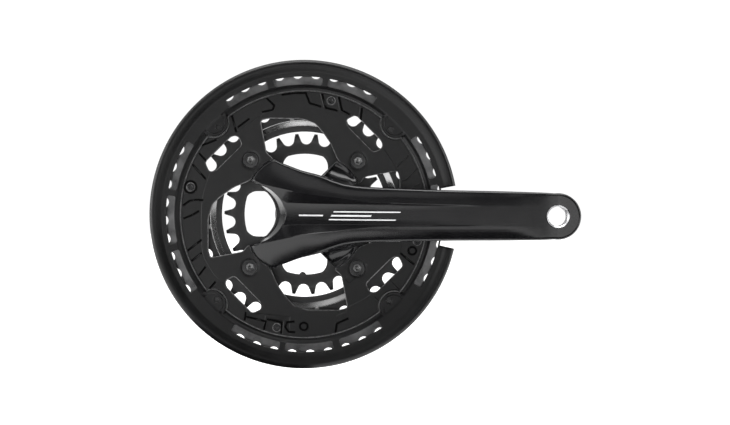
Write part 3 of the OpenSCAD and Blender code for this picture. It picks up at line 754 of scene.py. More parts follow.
right_webs = [web_part(degrees) for degrees in (45, -45)]
collar = lathe([(12.0, 48.0), (16.2, 48.0), (16.8, 48.3), (17.0, 49.0), (17.4, 51.0), (18.6, 51.9),
                (18.6, 54), (12.0, 54)], n=96)
boss = [(4.0, 43.5), (6.4, 43.5), (7.0, 44.1), (7.3, 50.2), (8.6, 51.6), (8.6, 53.5), (4.0, 53.5)]
bosses = [lathe(boss, *polar(INNER_BOLT_R, a), 40) for a in DIAGONALS]
make("crank_arm_body", [arm_body, spider, collar] + right_webs + bosses, [BLACK_ARM], "crank",
     ("crank_arm",), sharp=33)


def thread_sleeve(radius, z0, z1, pitch, wall):
    """A bored ring with a real 60 degree thread on its inside, and a chamfer at each mouth."""
    n, per_turn, depth = 72, 8, 0.62
    rows = int((z1 - z0) / pitch * per_turn)
    a = np.arange(n) * 2 * math.pi / n
    rings = []
    for z in np.linspace(z0, z1, rows):
        mouth = np.clip(0.9 - min(z - z0, z1 - z), 0, 0.9)
        ridge = 1 - np.abs(2 * (((z - pitch * a / (2 * math.pi)) / pitch) % 1.0) - 1)
        inner = radius - depth * np.clip(ridge * 1.25 - 0.12, 0, 1)
        rings.append((np.maximum(inner, radius - depth + mouth), z))
    rings += [(wall, z1), (wall, z0)]
    v = np.vstack([np.c_[PEDAL_X + r * np.cos(a), r * np.sin(a), np.full(n, z)] for r, z in rings])
    faces = []
    for i in range(len(rings)):
        j = (i + 1) % len(rings)
        for k in range(n):
            l = (k + 1) % n
            faces.append([i * n + k, j * n + k, j * n + l, i * n + l])
    return v, faces, np.full(len(v), NO_EDGE), 0


sleeve = thread_sleeve(PEDAL_R, EYE_BACK + 0.02, EYE_FRONT - 0.42, PEDAL_PITCH, PEDAL_R + SLEEVE_WALL + 0.01)
make("pedal_thread", [sleeve], [BARE_ALLOY], "crank", sharp=25, weighted=False)


def printed(x0, x1, y0, y1, lean):
    """A thin printed bar on the arm's channel."""
    xs = np.linspace(x0, x1, max(3, int((x1 - x0) / 1.5)))
    low_side, high_side = (np.c_[xs + lean * y, np.full(len(xs), y)] for y in (y0, y1))
    loop = np.vstack([low_side, high_side[::-1]])
    return relief([loop], lambda p, rim: arm_top(p) + 0.03, lambda p, rim: arm_top(p) - 0.05)


marks = [printed(-3.0, 13.4, -1.3, -0.3, 0.0), printed(19.5, 64.5, -3.9, -3.1, 0.6),
         printed(19.5, 64.5, 1.4, 2.2, 0.6), printed(19.5, 46.5, -1.4, -0.3, 0.6)]
make("arm_marks", marks, [PRINT], "crank", weighted=False)

# ------------ outer ring's plate

PIN_AT = (167, 77, -13, -103)
PEG_AT = [22.5 + 45 * k for k in range(8)]
PIN_R, DROP_R, PEG_POS, SCREW_POS, LOBE_POS = 79.8, 79.0, 80.0, 83.0, 88.2
CARRIER_R, SEAT_R = 84.6, 76.0
RIB_IN, RIB_OUT = 71.0, 74.6
BAND_Z, PANEL_RISE, RIM_RISE = 59.0, 0.25, 0.5
TEETH_BACK, TEETH_FRONT = 56.15, 58.25

window = [
    (-21.1, 37.9), (-25.9, 41.6), (-30.3, 63.9), (-24.7, 65.4), (-2.5, 65.4),
    (6.8, 62.4), (12.7, 55.7), (17.9, 48.3), (22.4, 37.9),
]
opening = softened(np.vstack([turn(window, -90 * k) for k in range(4)]), 2, 6)
kidney = softened([(-15.5, -2.2), (-13.2, 4.6), (12.5, 4.6), (15.5, 1.6), (13.4, -4.6), (-11.6, -4.6)],
                  2.2, 6)
kidneys = [turn(kidney, -45 + 90 * k) + polar(69.0, 53.6 + 90 * k) for k in range(4)]
lobe_cuts = four(circle(10.2, LOBE_POS, 0, 0.8))
carrier_outline = region(
    [circle(CARRIER_R)],
    [opening] + kidneys + lobe_cuts + four(circle(SHOULDER_R + 0.3, SHOULDER_AT)) + bolt_holes
    + holes(2.6, PIN_R, PIN_AT) + [circle(2.5, DROP_R, 0, 0.5)],
)
carrier_edge = [max(carrier_outline, key=lambda l: abs(area(l)))]

# the flat X-shaped panel and the fields and ribs that reach from it to the rim
panel_edge = flowing([
    (-66.3, 23.2), (-69.4, 12), (-70.4, 1), (-70.2, -14), (-69.2, -27.8), (-64.5, -37), (-59.2, -44.4),
    (-50, -51.5), (-39.6, -60), (-38, -67.5), (-27, -68.6), (-13, -70.2), (-2, -70.6), (10, -70.2),
    (20, -68.2), (31, -63.4), (44, -56.4), (53, -48.2), (61.5, -36.6), (66, -25), (69.2, -12), (70.4, 2),
    (69, 16), (65.6, 25.4), (62.5, 33), (56, 43), (48, 52.4), (40, 61.4), (33.6, 67.2), (26.5, 71.2),
    (15, 73.0), (6, 74.2), (-4, 70.9), (-16, 69.6), (-29.2, 67.6), (-37.6, 62.4), (-46.5, 55.4),
    (-56, 45), (-62, 34.4)], 3, True)
fields = [
    [(-29.5, 68.5), (-22.2, 71.2), (-20.9, 74.4), (-26.6, 79.6), (-21.5, 81.9), (-12.6, 83.4), (0.9, 83.9),
     (3.4, 76.6), (10.9, 73.9), (6, 66), (-20, 64)],
    [(11.8, 83.1), (14.2, 73.6), (21.9, 71.6), (20.4, 69.6), (13.2, 71.4), (10.2, 82.9)],
    [(23.3, 80.9), (25.4, 71.9), (30.2, 69.3), (28.6, 67.4), (23.9, 70.2), (21.4, 81.0)],
    [(39.9, 74.0), (38.4, 64.4), (36.6, 66.0), (37.7, 74.8)],
    [(-8, -66), (-9.4, -73.0), (-9.2, -83.3), (-2, -83.8), (6, -83.6), (15, -82.6), (22.4, -81.0),
     (23.2, -74.9), (31, -71.2), (30, -62)],
    [(-14.2, -83.1), (-13.4, -73.4), (-24.1, -71.6), (-25.4, -80.4), (-27.3, -79.9), (-25.9, -69.6),
     (-11.6, -71.4), (-12.2, -83.3)],
    [(-39.3, -74.3), (-38.9, -66.4), (-37.1, -67.3), (-37.4, -75.2)],
]
ribs = [
    [(54.7, -63.0), (49.0, -56.5)], [(66.4, -52.0), (59.0, -44.6)], [(63.4, 33.1), (70.6, 40.2)],
    [(67.0, 23.4), (70.8, 25.2), (76.4, 31.4)], [(69.5, 15.0), (78.6, 21.6)], [(-83.4, 14.0), (-80.6, 13.2)],
]
GROOVE_W, GROOVE_FLOOR = 1.5, 58.37
grooves = [
    [(-28.8, 69.7), (-21.9, 71.2), (-20.9, 74.2), (-25.8, 78.9)],
    [(-15.5, 81.7), (-8, 82.7), (0.6, 82.9), (3.3, 76.0), (10.8, 73.8)],
    [(11.8, 82.2), (14.4, 72.9), (22.0, 71.2)], [(23.4, 80.0), (25.4, 71.4), (30.2, 68.8)],
    [(39.1, 72.4), (38.3, 65.0)], [(-38.2, 64.8), (-45.4, 59.3)], [(-49.7, 66.4), (-46.9, 56.4)],
    [(-60.8, 50.2), (-69.6, 46.7)], [(-71.6, 40.6), (-66.4, 35.1)], [(-76.4, 33.2), (-67.8, 23.9)],
    [(-82.2, 5.6), (-78.1, 8.6), (-73.5, 9.3), (-69.6, 9.0)], [(-81.8, -3.5), (-76.4, -1.2), (-72.1, 1.3)],
    [(-78.9, -25.3), (-70.3, -18.5)], [(-76.2, -32.4), (-70.2, -27.4)], [(-71.2, -42.2), (-67.4, -37.0)],
    [(-63.6, -51.0), (-60.5, -47.2)], [(-39.8, -72.6), (-39.2, -67.8)],
    [(-26.6, -79.0), (-25.4, -73.6), (-39.4, -70.3)], [(-14.8, -81.4), (-14.5, -74.2), (-24.1, -72.2)],
    [(-6.4, -73.6), (-10.8, -74.0), (-12.2, -77.4), (-9.8, -80.6), (-6.0, -80.8)],
    [(66.9, -26.6), (75.2, -33.4)], [(22.4, -80.4), (23.2, -74.7), (30.6, -71.2)],
]
ring_grooves = [(-77.8, 17.9, 4.0), (0.6, -76.8, 2.6), (74.4, -24.4, 2.6)]
rib_sides = [side for r in ribs for side in strip(r, 1.1)]
raised = region([panel_edge] + [np.array(f, float) for f in fields] + rib_sides)
# shallow pockets in the raised fields and in the flat panel
sunk = [
    softened([(24.6, -74.0), (50.6, -61.4), (48.4, -57.4), (22.4, -69.4)], 1.5, 4),
    softened([(31.5, -47.5), (44.5, -34.5), (41.0, -31.0), (28.0, -44.0)], 1.5, 4),
]
groove_lines = [np.array(g, float) for g in grooves]
groove_sides = [side for w in (1, 0.6) for g in groove_lines for side in strip(g, GROOVE_W * w)]
for x, y, r in ring_grooves:
    groove_sides += [circle(r + GROOVE_W * w, x, y, 0.6) for w in (-0.5, -0.3, 0.3, 0.5)]
    ring = circle(r, x, y, 0.6)
    groove_lines.append(np.vstack([ring, ring[:1]]))
raised_in, sunk_in = [inset(l, 0.4) for l in raised], [inset(ccw(l), 0.35) for l in sunk]
counterbores = [polar(BOLT_R, a) for a in DIAGONALS]
bore_radii, bore_depths = (5.55, 5.75, 6.5, 7.4), (1.6, 0.45, 0.22, 0.0)


def carrier_front(p, rim):
    z = BAND_Z + PANEL_RISE * step_up(signed(p, raised), 0.4)
    z -= 0.3 * step_up(signed(p, sunk), 0.35)
    edge = distance(p, carrier_edge)
    z = np.maximum(z, BAND_Z + RIM_RISE * (1 - step_up(edge - 0.8, 0.4)))
    groove = np.clip((1 - distance(p, groove_lines, False) / (GROOVE_W / 2)) / 0.4, 0, 1)
    z -= (z - GROOVE_FLOOR) * groove
    for c in counterbores:
        z -= np.interp(away(p, *c), bore_radii, bore_depths)
    bolt = np.min([away(p, *c) for c in counterbores], 0)
    return z - np.where(bolt < 6, 0, bevel(rim, np.where(edge < 1.2, 0.25, 0.5)))


def carrier_back(p, rim):
    r = away(p)
    z = np.where(r > SEAT_R - 0.01, TEETH_FRONT, TAB_FRONT)
    inner = np.clip(r - (SEAT_R - 0.25), 0, 0.25)
    ribbed = 0.9 * step_up(r - RIB_IN, 0.6) * step_up(RIB_OUT - r, 0.6)
    return z + np.where(r > SEAT_R, 0, inner + ribbed + bevel(rim, 0.4))


carrier_guides = raised + raised_in + sunk + sunk_in + groove_sides
carrier_guides += [inset(l, w) for l in carrier_outline for w in (0.5, 0.95)]
carrier_guides += [inset(carrier_edge[0], w) for w in (0.25, 0.8, 1.0, 1.2)]
carrier_guides += [circle(r, *c, 0.7) for c in counterbores for r in bore_radii[::-1]]
carrier_guides += [circle(r) for r in (SEAT_R, SEAT_R - 0.12, RIB_IN, RIB_IN + 0.6, RIB_OUT - 0.6, RIB_OUT)]
# the faces along the groove lines take the near-black painted shade finish
carrier = relief(carrier_outline, carrier_front, carrier_back, carrier_guides, groove_lines,
                 mark=lambda p: distance(p, groove_lines, False) < GROOVE_W * 0.45)
peg = [(0.0, TEETH_BACK), (1.6, TEETH_BACK), (2.0, TEETH_BACK + 0.4), (2.0, 58.4), (0.0, 58.4)]
pegs = [lathe(peg, *polar(PEG_POS, a), 24) for a in PEG_AT]
make("outer_ring_plate", [carrier] + pegs, [RESIN, GROOVE_PAINTED_SHADE], "crank",
     ("outer_carrier",), sharp=30)

# ------------ toothed rings

OUTER_TEETH, MIDDLE_TEETH, INNER_TEETH = 48, 36, 26
CHAIN_PITCH, ROLLER_R, TOOTH_TOP, TOOTH_RISE, FLANK = 12.7, 4.05, 1.1, 3.4, 60
TIP_FALL_W, TOOTH_EDGE = 2.6, 0.22


def pitch_r(teeth):
    return CHAIN_PITCH / (2 * math.sin(math.pi / teeth))


def toothed(teeth, phase):
    """Outline of a sprocket, phase being the angle of one of its gaps."""
    rp = pitch_r(teeth)
    tip = rp + TOOTH_RISE
    edge = 180 / teeth - math.degrees(math.asin(TOOTH_TOP / tip))
    gap = [polar(tip, -edge)]
    for a in np.radians(np.arange(-FLANK, FLANK + 1, 12)):
        gap.append((rp - ROLLER_R * math.cos(a), ROLLER_R * math.sin(a)))
    gap += [polar(tip, edge)]
    return np.vstack([turn(gap, phase + k * 360 / teeth) for k in range(teeth)])


def tooth_slopes(teeth, drop=0.5):
    """How far each face falls back towards the tooth tips."""
    tip = pitch_r(teeth) + TOOTH_RISE

    def falls(p, rim):
        r = away(p)
        return drop * step_up(r - (tip - TIP_FALL_W), TIP_FALL_W) + bevel(rim, TOOTH_EDGE) * (r > tip - 8.5)

    return falls


def tooth_guides(teeth, outline):
    tip = pitch_r(teeth) + TOOTH_RISE
    falls = [circle(tip - TIP_FALL_W * k) for k in (1, 0.66, 0.33)]
    return falls + [inset(l, TOOTH_EDGE) for l in outline]


screw_holes = four(circle(2.0, SCREW_POS, 0, 0.5))
outer_outline = region(
    [toothed(OUTER_TEETH, 3.1)],
    [circle(SEAT_R)] + holes(2.0, PEG_POS, PEG_AT) + screw_holes
    + holes(1.5, PIN_R, PIN_AT) + [circle(1.6, DROP_R, 0, 0.5)],
)
outer_falls = tooth_slopes(OUTER_TEETH)


def ramp_cut(p, at, phase, r0, r1, depth):
    """Hollows pressed beside the shift pins, on the inboard face."""
    r = away(p)
    a = np.degrees(np.arctan2(p[:, 1], p[:, 0]))
    cut = np.zeros(len(p))
    for centre in at:
        off = (a - centre + 180) % 360 - 180
        across = depth * step_up(5.5 - np.abs(off - phase), 1.2)
        cut = np.maximum(cut, across * step_up(r - r0, 2.0) * step_up(r1 - r, 1.5))
    return cut


outer_teeth = relief(
    outer_outline,
    lambda p, rim: TEETH_FRONT - outer_falls(p, rim),
    lambda p, rim: TEETH_BACK + outer_falls(p, rim) + ramp_cut(p, PIN_AT, 9, 84, 99, 0.5),
    tooth_guides(OUTER_TEETH, outer_outline) + [circle(r) for r in (82, 84, 86, 88, 90, 92, 94)],
)
make("outer_ring_teeth", [outer_teeth], [TOOTH], "crank", ("outer_tooth_ring",), sharp=30)

MIDDLE_BACK, MIDDLE_FRONT, MIDDLE_LIP, MIDDLE_IN = 48.5, 51.5, 50.4, 57.0
MIDDLE_PINS, MIDDLE_PIN_R = (98, 188, 278, 8), 66.0
TAB_HALF = 9.4
middle_tab = (circle(TAB_HALF, BOLT_R), oblong(BOLT_R, 65.3, -TAB_HALF, TAB_HALF))
middle_tabs = [turn(t, a) for a in DIAGONALS for t in middle_tab]
middle_tab_loops = region(middle_tabs)
middle_outline = region(
    [toothed(MIDDLE_TEETH, 3)],
    region([circle(MIDDLE_IN)], middle_tabs) + bolt_holes + holes(1.5, MIDDLE_PIN_R, MIDDLE_PINS),
)
middle_falls = tooth_slopes(MIDDLE_TEETH, 0.75)


def middle_front(p, rim):
    r = away(p)
    slope = [MIDDLE_LIP, MIDDLE_LIP + 0.05, MIDDLE_FRONT - 0.06, MIDDLE_FRONT]
    z = np.interp(r, [60.6, 61.0, 64.6, 65.0], slope)
    tabs = MIDDLE_LIP + (MIDDLE_FRONT - MIDDLE_LIP) * step_up(signed(p, middle_tab_loops), 0.4)
    return np.maximum(z, tabs) - middle_falls(p, rim) - bevel(rim, 0.35) * (r < 62)


def middle_back(p, rim):
    ramps = ramp_cut(p, MIDDLE_PINS, 7, 66, 74, 0.6)
    return MIDDLE_BACK + middle_falls(p, rim) + ramps + bevel(rim, 0.3)


def on_bevel(p):
    """Whether a point lies on the bright turned bevel between the tabs."""
    r = away(p)
    return (r > 61) & (r < 65) & (signed(p, middle_tab_loops) < 0)


middle_guides = tooth_guides(MIDDLE_TEETH, middle_outline)
middle_guides += [circle(r, step=0.9) for r in (60.6, 61, 62.3, 63.6, 64.6, 65, 67, 69)]
middle_guides += [inset(l, 0.35) for l in middle_outline]
middle_guides += middle_tab_loops + [inset(l, 0.4) for l in middle_tab_loops]
middle = relief(middle_outline, middle_front, middle_back, middle_guides, mark=on_bevel)
make("middle_ring", [middle], [DARK_RING, BRIGHT_RING], "crank",
     ("middle_chainring",), sharp=30)

INNER_BACK, INNER_FRONT, INNER_CENTRE_R, OPEN_R = 40.5, 43.5, 25.5, 42.0
half_w, corner_r = 15.7, 9.0
corner_x, corner_y = half_w - corner_r, OPEN_R - corner_r
inner_window = region(
    [oblong(-half_w, half_w, 0, corner_y), oblong(-corner_x, corner_x, 0, OPEN_R + 1),
     circle(corner_r, corner_x, corner_y, 0.7), circle(corner_r, -corner_x, corner_y, 0.7)],
    within=[circle(OPEN_R)],
)
inner_opening = region(
    [circle(INNER_CENTRE_R)] + [turn(l, 90 * k) for k in range(4) for l in inner_window],
    [circle(2.4, -1.2, -42.6, 0.5)],
)
inner_bolt_holes = four(circle(4.0, INNER_BOLT_R, 0, 0.6))
inner_outline = region([toothed(INNER_TEETH, 89.4)], inner_opening + inner_bolt_holes)
inner_falls = tooth_slopes(INNER_TEETH, 0.75)
inner = relief(
    inner_outline,
    lambda p, rim: INNER_FRONT - inner_falls(p, rim) - bevel(rim, 0.3),
    lambda p, rim: INNER_BACK + inner_falls(p, rim) + bevel(rim, 0.3),
    tooth_guides(INNER_TEETH, inner_outline) + [inset(l, 0.3) for l in inner_outline]
    + [circle(45), circle(47)],
)
make("inner_ring", [inner], [DARK_RING], "crank", ("inner_chainring",), sharp=30)

# ------------ chain guard

GUARD_R, GUARD_IN, RIM_IN = 105.38, 85.0, 95.2
LOBE_Z, BARE_EDGE_R = 60.75, 104
front_profile = np.array([
    (GUARD_IN, 59.3), (86.3, 59.4), (86.9, 59.8), (88.1, 61.5), (88.8, 61.95), (97.0, 62.3), (97.5, 62.4),
    (98.2, 62.75), (99.4, 63.35), (100.6, 63.85), (101.8, 64.15), (102.6, 64.18), (103.3, 64.0),
    (104.0, 63.6), (104.6, 63.0), (105.0, 62.5), (105.3, 61.95), (GUARD_R, 61.7)])
back_profile = np.array([
    (GUARD_IN, TEETH_FRONT), (89.4, TEETH_FRONT), (91.6, 61.0), (100.6, 61.0), (101.1, 60.75),
    (101.6, 60.4), (102.1, 60.0), (102.6, 59.65), (103.2, 59.35), (103.8, 59.25), (104.4, 59.5), (104.9, 60.0),
    (105.2, 60.5), (GUARD_R, 61.2)])
guard_slots = [ring_slot(88.5, 94.0, a0 + 90 * k, a1 + 90 * k, 1.4) for k in range(4)
               for a0, a1 in ((58.3, 80.0), (82.5, 103.2), (106.2, 125.4))]
gap_angles = np.linspace(-12.4, 11.1, 30)
gap_wedge = [polar(RIM_IN, a) for a in gap_angles] + [polar(GUARD_R + 3, a) for a in gap_angles[::-1]]
lobes, lobe_discs = four(circle(9.8, LOBE_POS, 0, 0.7)), four(circle(7.4, LOBE_POS - 0.8, 0, 0.6))
guard_outline = region(
    [circle(GUARD_R, step=1.2)],
    region([circle(GUARD_IN)], lobes) + guard_slots + [np.array(gap_wedge)] + screw_holes,
)


def guard_front(p, rim):
    r = away(p)
    z = np.where(r >= GUARD_IN - 0.01, np.interp(r, *front_profile.T), 58.4)
    on_lobe, on_disc = signed(p, lobes), signed(p, lobe_discs)
    z = np.where(on_lobe > -0.01, np.maximum(z, LOBE_Z + 0.4 * step_up(on_lobe, 0.4)), z)
    z = np.where(on_disc > 0, np.maximum(z, LOBE_Z + 0.4 + 0.5 * step_up(on_disc, 0.4)), z)
    return z - bevel(rim, 0.3) * (r < BARE_EDGE_R)


def guard_back(p, rim):
    r = away(p)
    z = np.where(r >= GUARD_IN, np.interp(r, *back_profile.T), TEETH_FRONT)
    return z + bevel(rim, 0.25) * (r < BARE_EDGE_R)


guard_radii = {93.0, 96.5, 99.3}.union(front_profile[1:-1, 0], back_profile[1:-1, 0])
guard_guides = [circle(r, step=1.2) for r in sorted(guard_radii)]
guard_guides += lobes + [inset(l, 0.4) for l in lobes] + lobe_discs + [inset(l, 0.4) for l in lobe_discs]
guard_guides += [inset(l, 0.3) for l in guard_outline if abs(area(l)) < 2000]
guard = relief(guard_outline, guard_front, guard_back, guard_guides)
make("guard", [guard], [GUARD], "crank", ("chain_guard",), sharp=34)

# ------------ bolts, pins


def hexagon(r):
    return np.array([polar(r, 60 * k) for k in range(6)])


def socket_head(r, z_top, z_base, hex_r, floor_z, crown=0.25, edge=0.45):
    """A round bolt head with a hexagon socket that is open at z_top; z_top may be the lower end."""
    way = 1 if z_top > z_base else -1
    rim_loop, hole, hole_in = circle(r, step=0.5), hexagon(hex_r), hexagon(hex_r - 0.1)

    def top(p, rim):
        far = away(p)
        drop = bevel(rim, edge) + crown * (far / r) ** 2
        walls = signed(p, [hole])
        drop += 0.25 * np.clip(1 - np.abs(walls) / 0.35, 0, 1) * (walls < 0)
        deep = abs(z_top - floor_z) - drop
        drop += np.where(walls > 0, deep * step_up(walls, 0.1), 0)
        dimple = np.clip(1.3 - far, 0, 0.9) * (walls > 0)
        return z_top - way * (drop + dimple * 0.6)

    guides = [inset(rim_loop, edge * k) for k in (0.5, 1.0)] + [hole, hole_in, hexagon(hex_r + 0.35)]
    guides += [circle(1.3, step=0.3), circle(0.5, step=0.2), circle(r * 0.78, step=0.6)]

    def bright(p):
        return signed(p, [hole]) > 0

    def base(p, rim):
        return np.where(away(p) < hex_r + 0.3, floor_z - 0.9 * way, z_base)

    guides += [circle(hex_r + 0.28, step=0.4), circle(hex_r + 0.36, step=0.4)]
    if way > 0:
        return relief([rim_loop], top, base, guides, mark=bright)
    return relief([rim_loop], base, top, guides, mark=(None, bright))


def moved(part, cx, cy, degrees=0.0):
    v = part[0].copy()
    v[:, :2] = turn(v[:, :2], degrees) + (cx, cy)
    return (v,) + part[1:]


def around(parts, radius, angles):
    return [moved(p, *polar(radius, a), a) for a in angles for p in parts]


bolt_shank = lathe([(0, 49.5), (3.5, 49.5), (4.0, 50.0), (4.0, 57.7), (3.3, 57.7), (3.3, 55.3),
                    (0, 55.3)], n=40)
bolt_parts = [socket_head(5.4, 58.8, 57.5, 2.9, 56.9), bolt_shank]
make("ring_bolts", around(bolt_parts, BOLT_R, DIAGONALS), [BLACK_BOLT, SOCKET], "crank",
     ("chainring_bolts",), sharp=28)

NUT_R = 6.5
nut_rim, nut_hole = circle(NUT_R, step=0.6), circle(4.0, step=0.6)
slot_lines = [np.array([[x, -NUT_R], [x, NUT_R]]) for x in (-0.7, 0.7, -0.6, 0.6)]


def nut_back(p, rim):
    slot = 0.9 * (1 - step_up(np.abs(p[:, 0]) - 0.6, 0.1))
    return 46.9 + np.maximum(bevel(rim, 0.4), slot)


nut_guides = [inset(nut_rim, 0.4), circle(4.4, step=0.6)]
nut_head = relief([nut_rim, nut_hole[::-1]], flat(48.5), nut_back, nut_guides, slot_lines)
nut_tube = lathe([(4.0, 48.4), (5.0, 48.4), (5.0, 57.1), (4.8, 57.3), (4.0, 57.3)], n=48)
make("ring_nuts", around([nut_head, nut_tube], BOLT_R, DIAGONALS), [BLACK_BOLT], "crank",
     ("chainring_nuts",), sharp=28)

inner_shank = lathe([(0, 40.4), (4.0, 40.4), (4.0, 49.4), (3.5, 50.0), (0, 50.0)], n=40)
inner_parts = [socket_head(6.2, 37.5, 40.5, 2.9, 40.2, 0.5, 0.6), inner_shank]
make("inner_bolts", around(inner_parts, INNER_BOLT_R, DIAGONALS), [BLACK_BOLT, BRIGHT_STEEL], "crank",
     ("inner_ring_bolts",), sharp=28)

screw_parts = [
    socket_head(3.4, TEETH_BACK - 2, TEETH_BACK, 1.3, TEETH_BACK - 0.7, 0.25, 0.35),
    lathe([(0, 56.0), (2.0, 56.0), (2.0, 60.0), (1.8, 60.25), (0, 60.25)], n=24),
]
make("guard_fixings", around(screw_parts, SCREW_POS, DIAGONALS), [BLACK_BOLT, BRIGHT_STEEL], "crank",
     ("guard_screws",), sharp=28)

rivet = lathe([(0, 54.55), (1.6, 54.55), (2.1, 54.75), (2.4, 55.2), (2.4, 56.15), (1.5, 56.15),
               (1.5, 58.3), (0, 58.3)], n=36)
rivet_cap = lathe([(0, 58.26), (2.5, 58.26), (2.5, 58.5), (2.3, 58.68), (1.7, 58.75), (1.1, 58.6),
                   (0.8, 58.35), (0, 58.35)], n=36, mark=1)
make("outer_pins", around([rivet, rivet_cap], PIN_R, PIN_AT), [BRIGHT_STEEL, BLACK_BOLT], "crank",
     ("outer_shift_pins",))
stud = lathe([(0, 46.7), (1.5, 46.7), (2.0, 46.9), (2.3, 47.3), (2.3, 48.5), (1.5, 48.5), (1.5, 51.2),
              (1.3, 51.4), (0, 51.4)], n=36)
make("middle_pins", around([stud], MIDDLE_PIN_R, MIDDLE_PINS), [BRIGHT_STEEL], "crank",
     ("middle_shift_pins",))
drop_pin = lathe([(0, TEETH_BACK), (1.6, TEETH_BACK), (1.6, 58.25), (2.5, 58.25), (2.5, 64.0), (2.35, 64.4),
                  (1.9, 64.8), (1.2, 64.95), (0, 64.95)], DROP_R, 0, 40)
make("drop_pin", [drop_pin], [BRIGHT_STEEL], "crank", ("chain_drop_pin",))

# ------------ spindle and bottom bracket


def mirrored(part):
    """The same part on the other side of the shell."""
    v = part[0] * (1, 1, -1)
    return v, [f[::-1] for f in part[1]], part[2], part[3]


SPINDLE_R, BORE_R, SPLINES = 12.0, 9.2, 20
tube_part = lathe([
    (BORE_R, -47.6), (SPINDLE_R - 0.1, -47.6), (SPINDLE_R, -47.3), (SPINDLE_R, 61.6), (11.6, 62.0),
    (0, 62.0), (0, 61.0), (8.6, 61.0), (BORE_R, 60.4)], n=128)
groove_edges = np.radians([-5, -3.2, -2.5, -2.15, -1.9, 0, 1.9, 2.15, 2.5, 3.2, 5, 9])
spline_angles = np.concatenate([groove_edges + k * 2 * math.pi / SPLINES for k in range(SPLINES)])


def spline_shape(r, z, t):
    """The spindle's left end, with a groove cut beside each spline."""
    off = abs((math.degrees(t) * SPLINES / 360 + 0.5) % 1 - 0.5) * 360 / SPLINES
    if r < 11 or z > -48.2:
        return r
    return min(r, 11.4 + 0.5 * min(max((off - 1.9) / 0.4, 0), 1))


splined = wavy([
    (BORE_R, -47.5), (BORE_R, -55.0), (10.0, -55.1), (10.0, -67.3), (10.6, -68.0), (11.3, -68.0),
    (11.9, -67.4), (11.9, -49.2), (11.9, -48.1), (11.9, -47.5)], spline_angles, spline_shape)
cap_threads = [lathe([(9.4, z), (10.1, z - 0.45), (10.1, z + 0.45)], n=72) for z in -66.4 + np.arange(11)]
make("hollow_spindle", [tube_part, splined] + cap_threads, [SPINDLE], "crank",
     ("spindle",), sharp=30)

# the right cup, its seal and its bush; the left ones are their mirror images
FLANGE_IN, BARREL_IN, CUP_R = 36.5, 25.5, 20.5
THREAD_R, THREAD_ROOT, THREAD_PITCH = 17.4, 16.9, 1.058
NOTCHES = 16
NOTCH_AT, NOTCH_CUT = 21.0, 1.6
half_notch = [0, 1.2, 2.4, 3.3, 3.9, 4.2, 4.4, 5.2, 7.0, 11.25]
flutes = np.radians(half_notch + [15.5, 17.3, 18.1, 18.3, 18.6, 19.2, 20.1, 21.3])
cup_angles = np.concatenate([flutes + k * 2 * math.pi / NOTCHES for k in range(NOTCHES)])


def cup_shape(r, z, t):
    """The cup's flange, with a round notch for the tool at each sixteenth of a turn."""
    if r < 18.5 or z > 41.4:
        return r
    off = abs((t * NOTCHES / (2 * math.pi) + 0.5) % 1 - 0.5) * 2 * math.pi / NOTCHES
    reach = NOTCH_CUT**2 - (NOTCH_AT * math.sin(off)) ** 2
    if reach <= 0:
        return r
    hollow = NOTCH_AT * math.cos(off) - math.sqrt(reach)
    return min(r, hollow + (CUP_R - hollow) * min(max((z - 40.8) / 0.5, 0), 1))


flange = wavy([
    (14.5, 38.6), (15.6, 38.0), (15.6, FLANGE_IN), (19.7, FLANGE_IN), (20.2, 36.6), (CUP_R, 37.0),
    (CUP_R, 40.7), (CUP_R, 41.0), (CUP_R, 41.35), (CUP_R, 41.6), (CUP_R, 43.0), (20.1, 43.2), (20.1, 43.8),
    (CUP_R, 44.0), (CUP_R, 46.1), (20.3, 46.6), (19.6, 47.0), (16.8, 47.0), (16.2, 46.6), (16.2, 46.4),
    (18.5, 46.4), (18.5, 39.5), (14.5, 39.5)], cup_angles, cup_shape)
turns = int((FLANGE_IN - 0.6 - BARREL_IN) / THREAD_PITCH * 7)
outer_side = [(THREAD_R, z) for z in np.linspace(BARREL_IN + 0.05, FLANGE_IN - 0.6, turns)]


def thread_shape(r, z, t):
    """The cup's barrel, with a real thread on its outside."""
    if r < THREAD_ROOT or z > FLANGE_IN - 0.5:
        return r
    phase = ((z - THREAD_PITCH * t / (2 * math.pi)) / THREAD_PITCH) % 1.0
    ridge = np.clip(abs(2 * phase - 1) * 1.25 - 0.12, 0, 1)
    return max(min(r, THREAD_ROOT + 0.5 * ridge), 16.4) - 0.35 * max(0, 1 - (z - BARREL_IN) / 0.6)


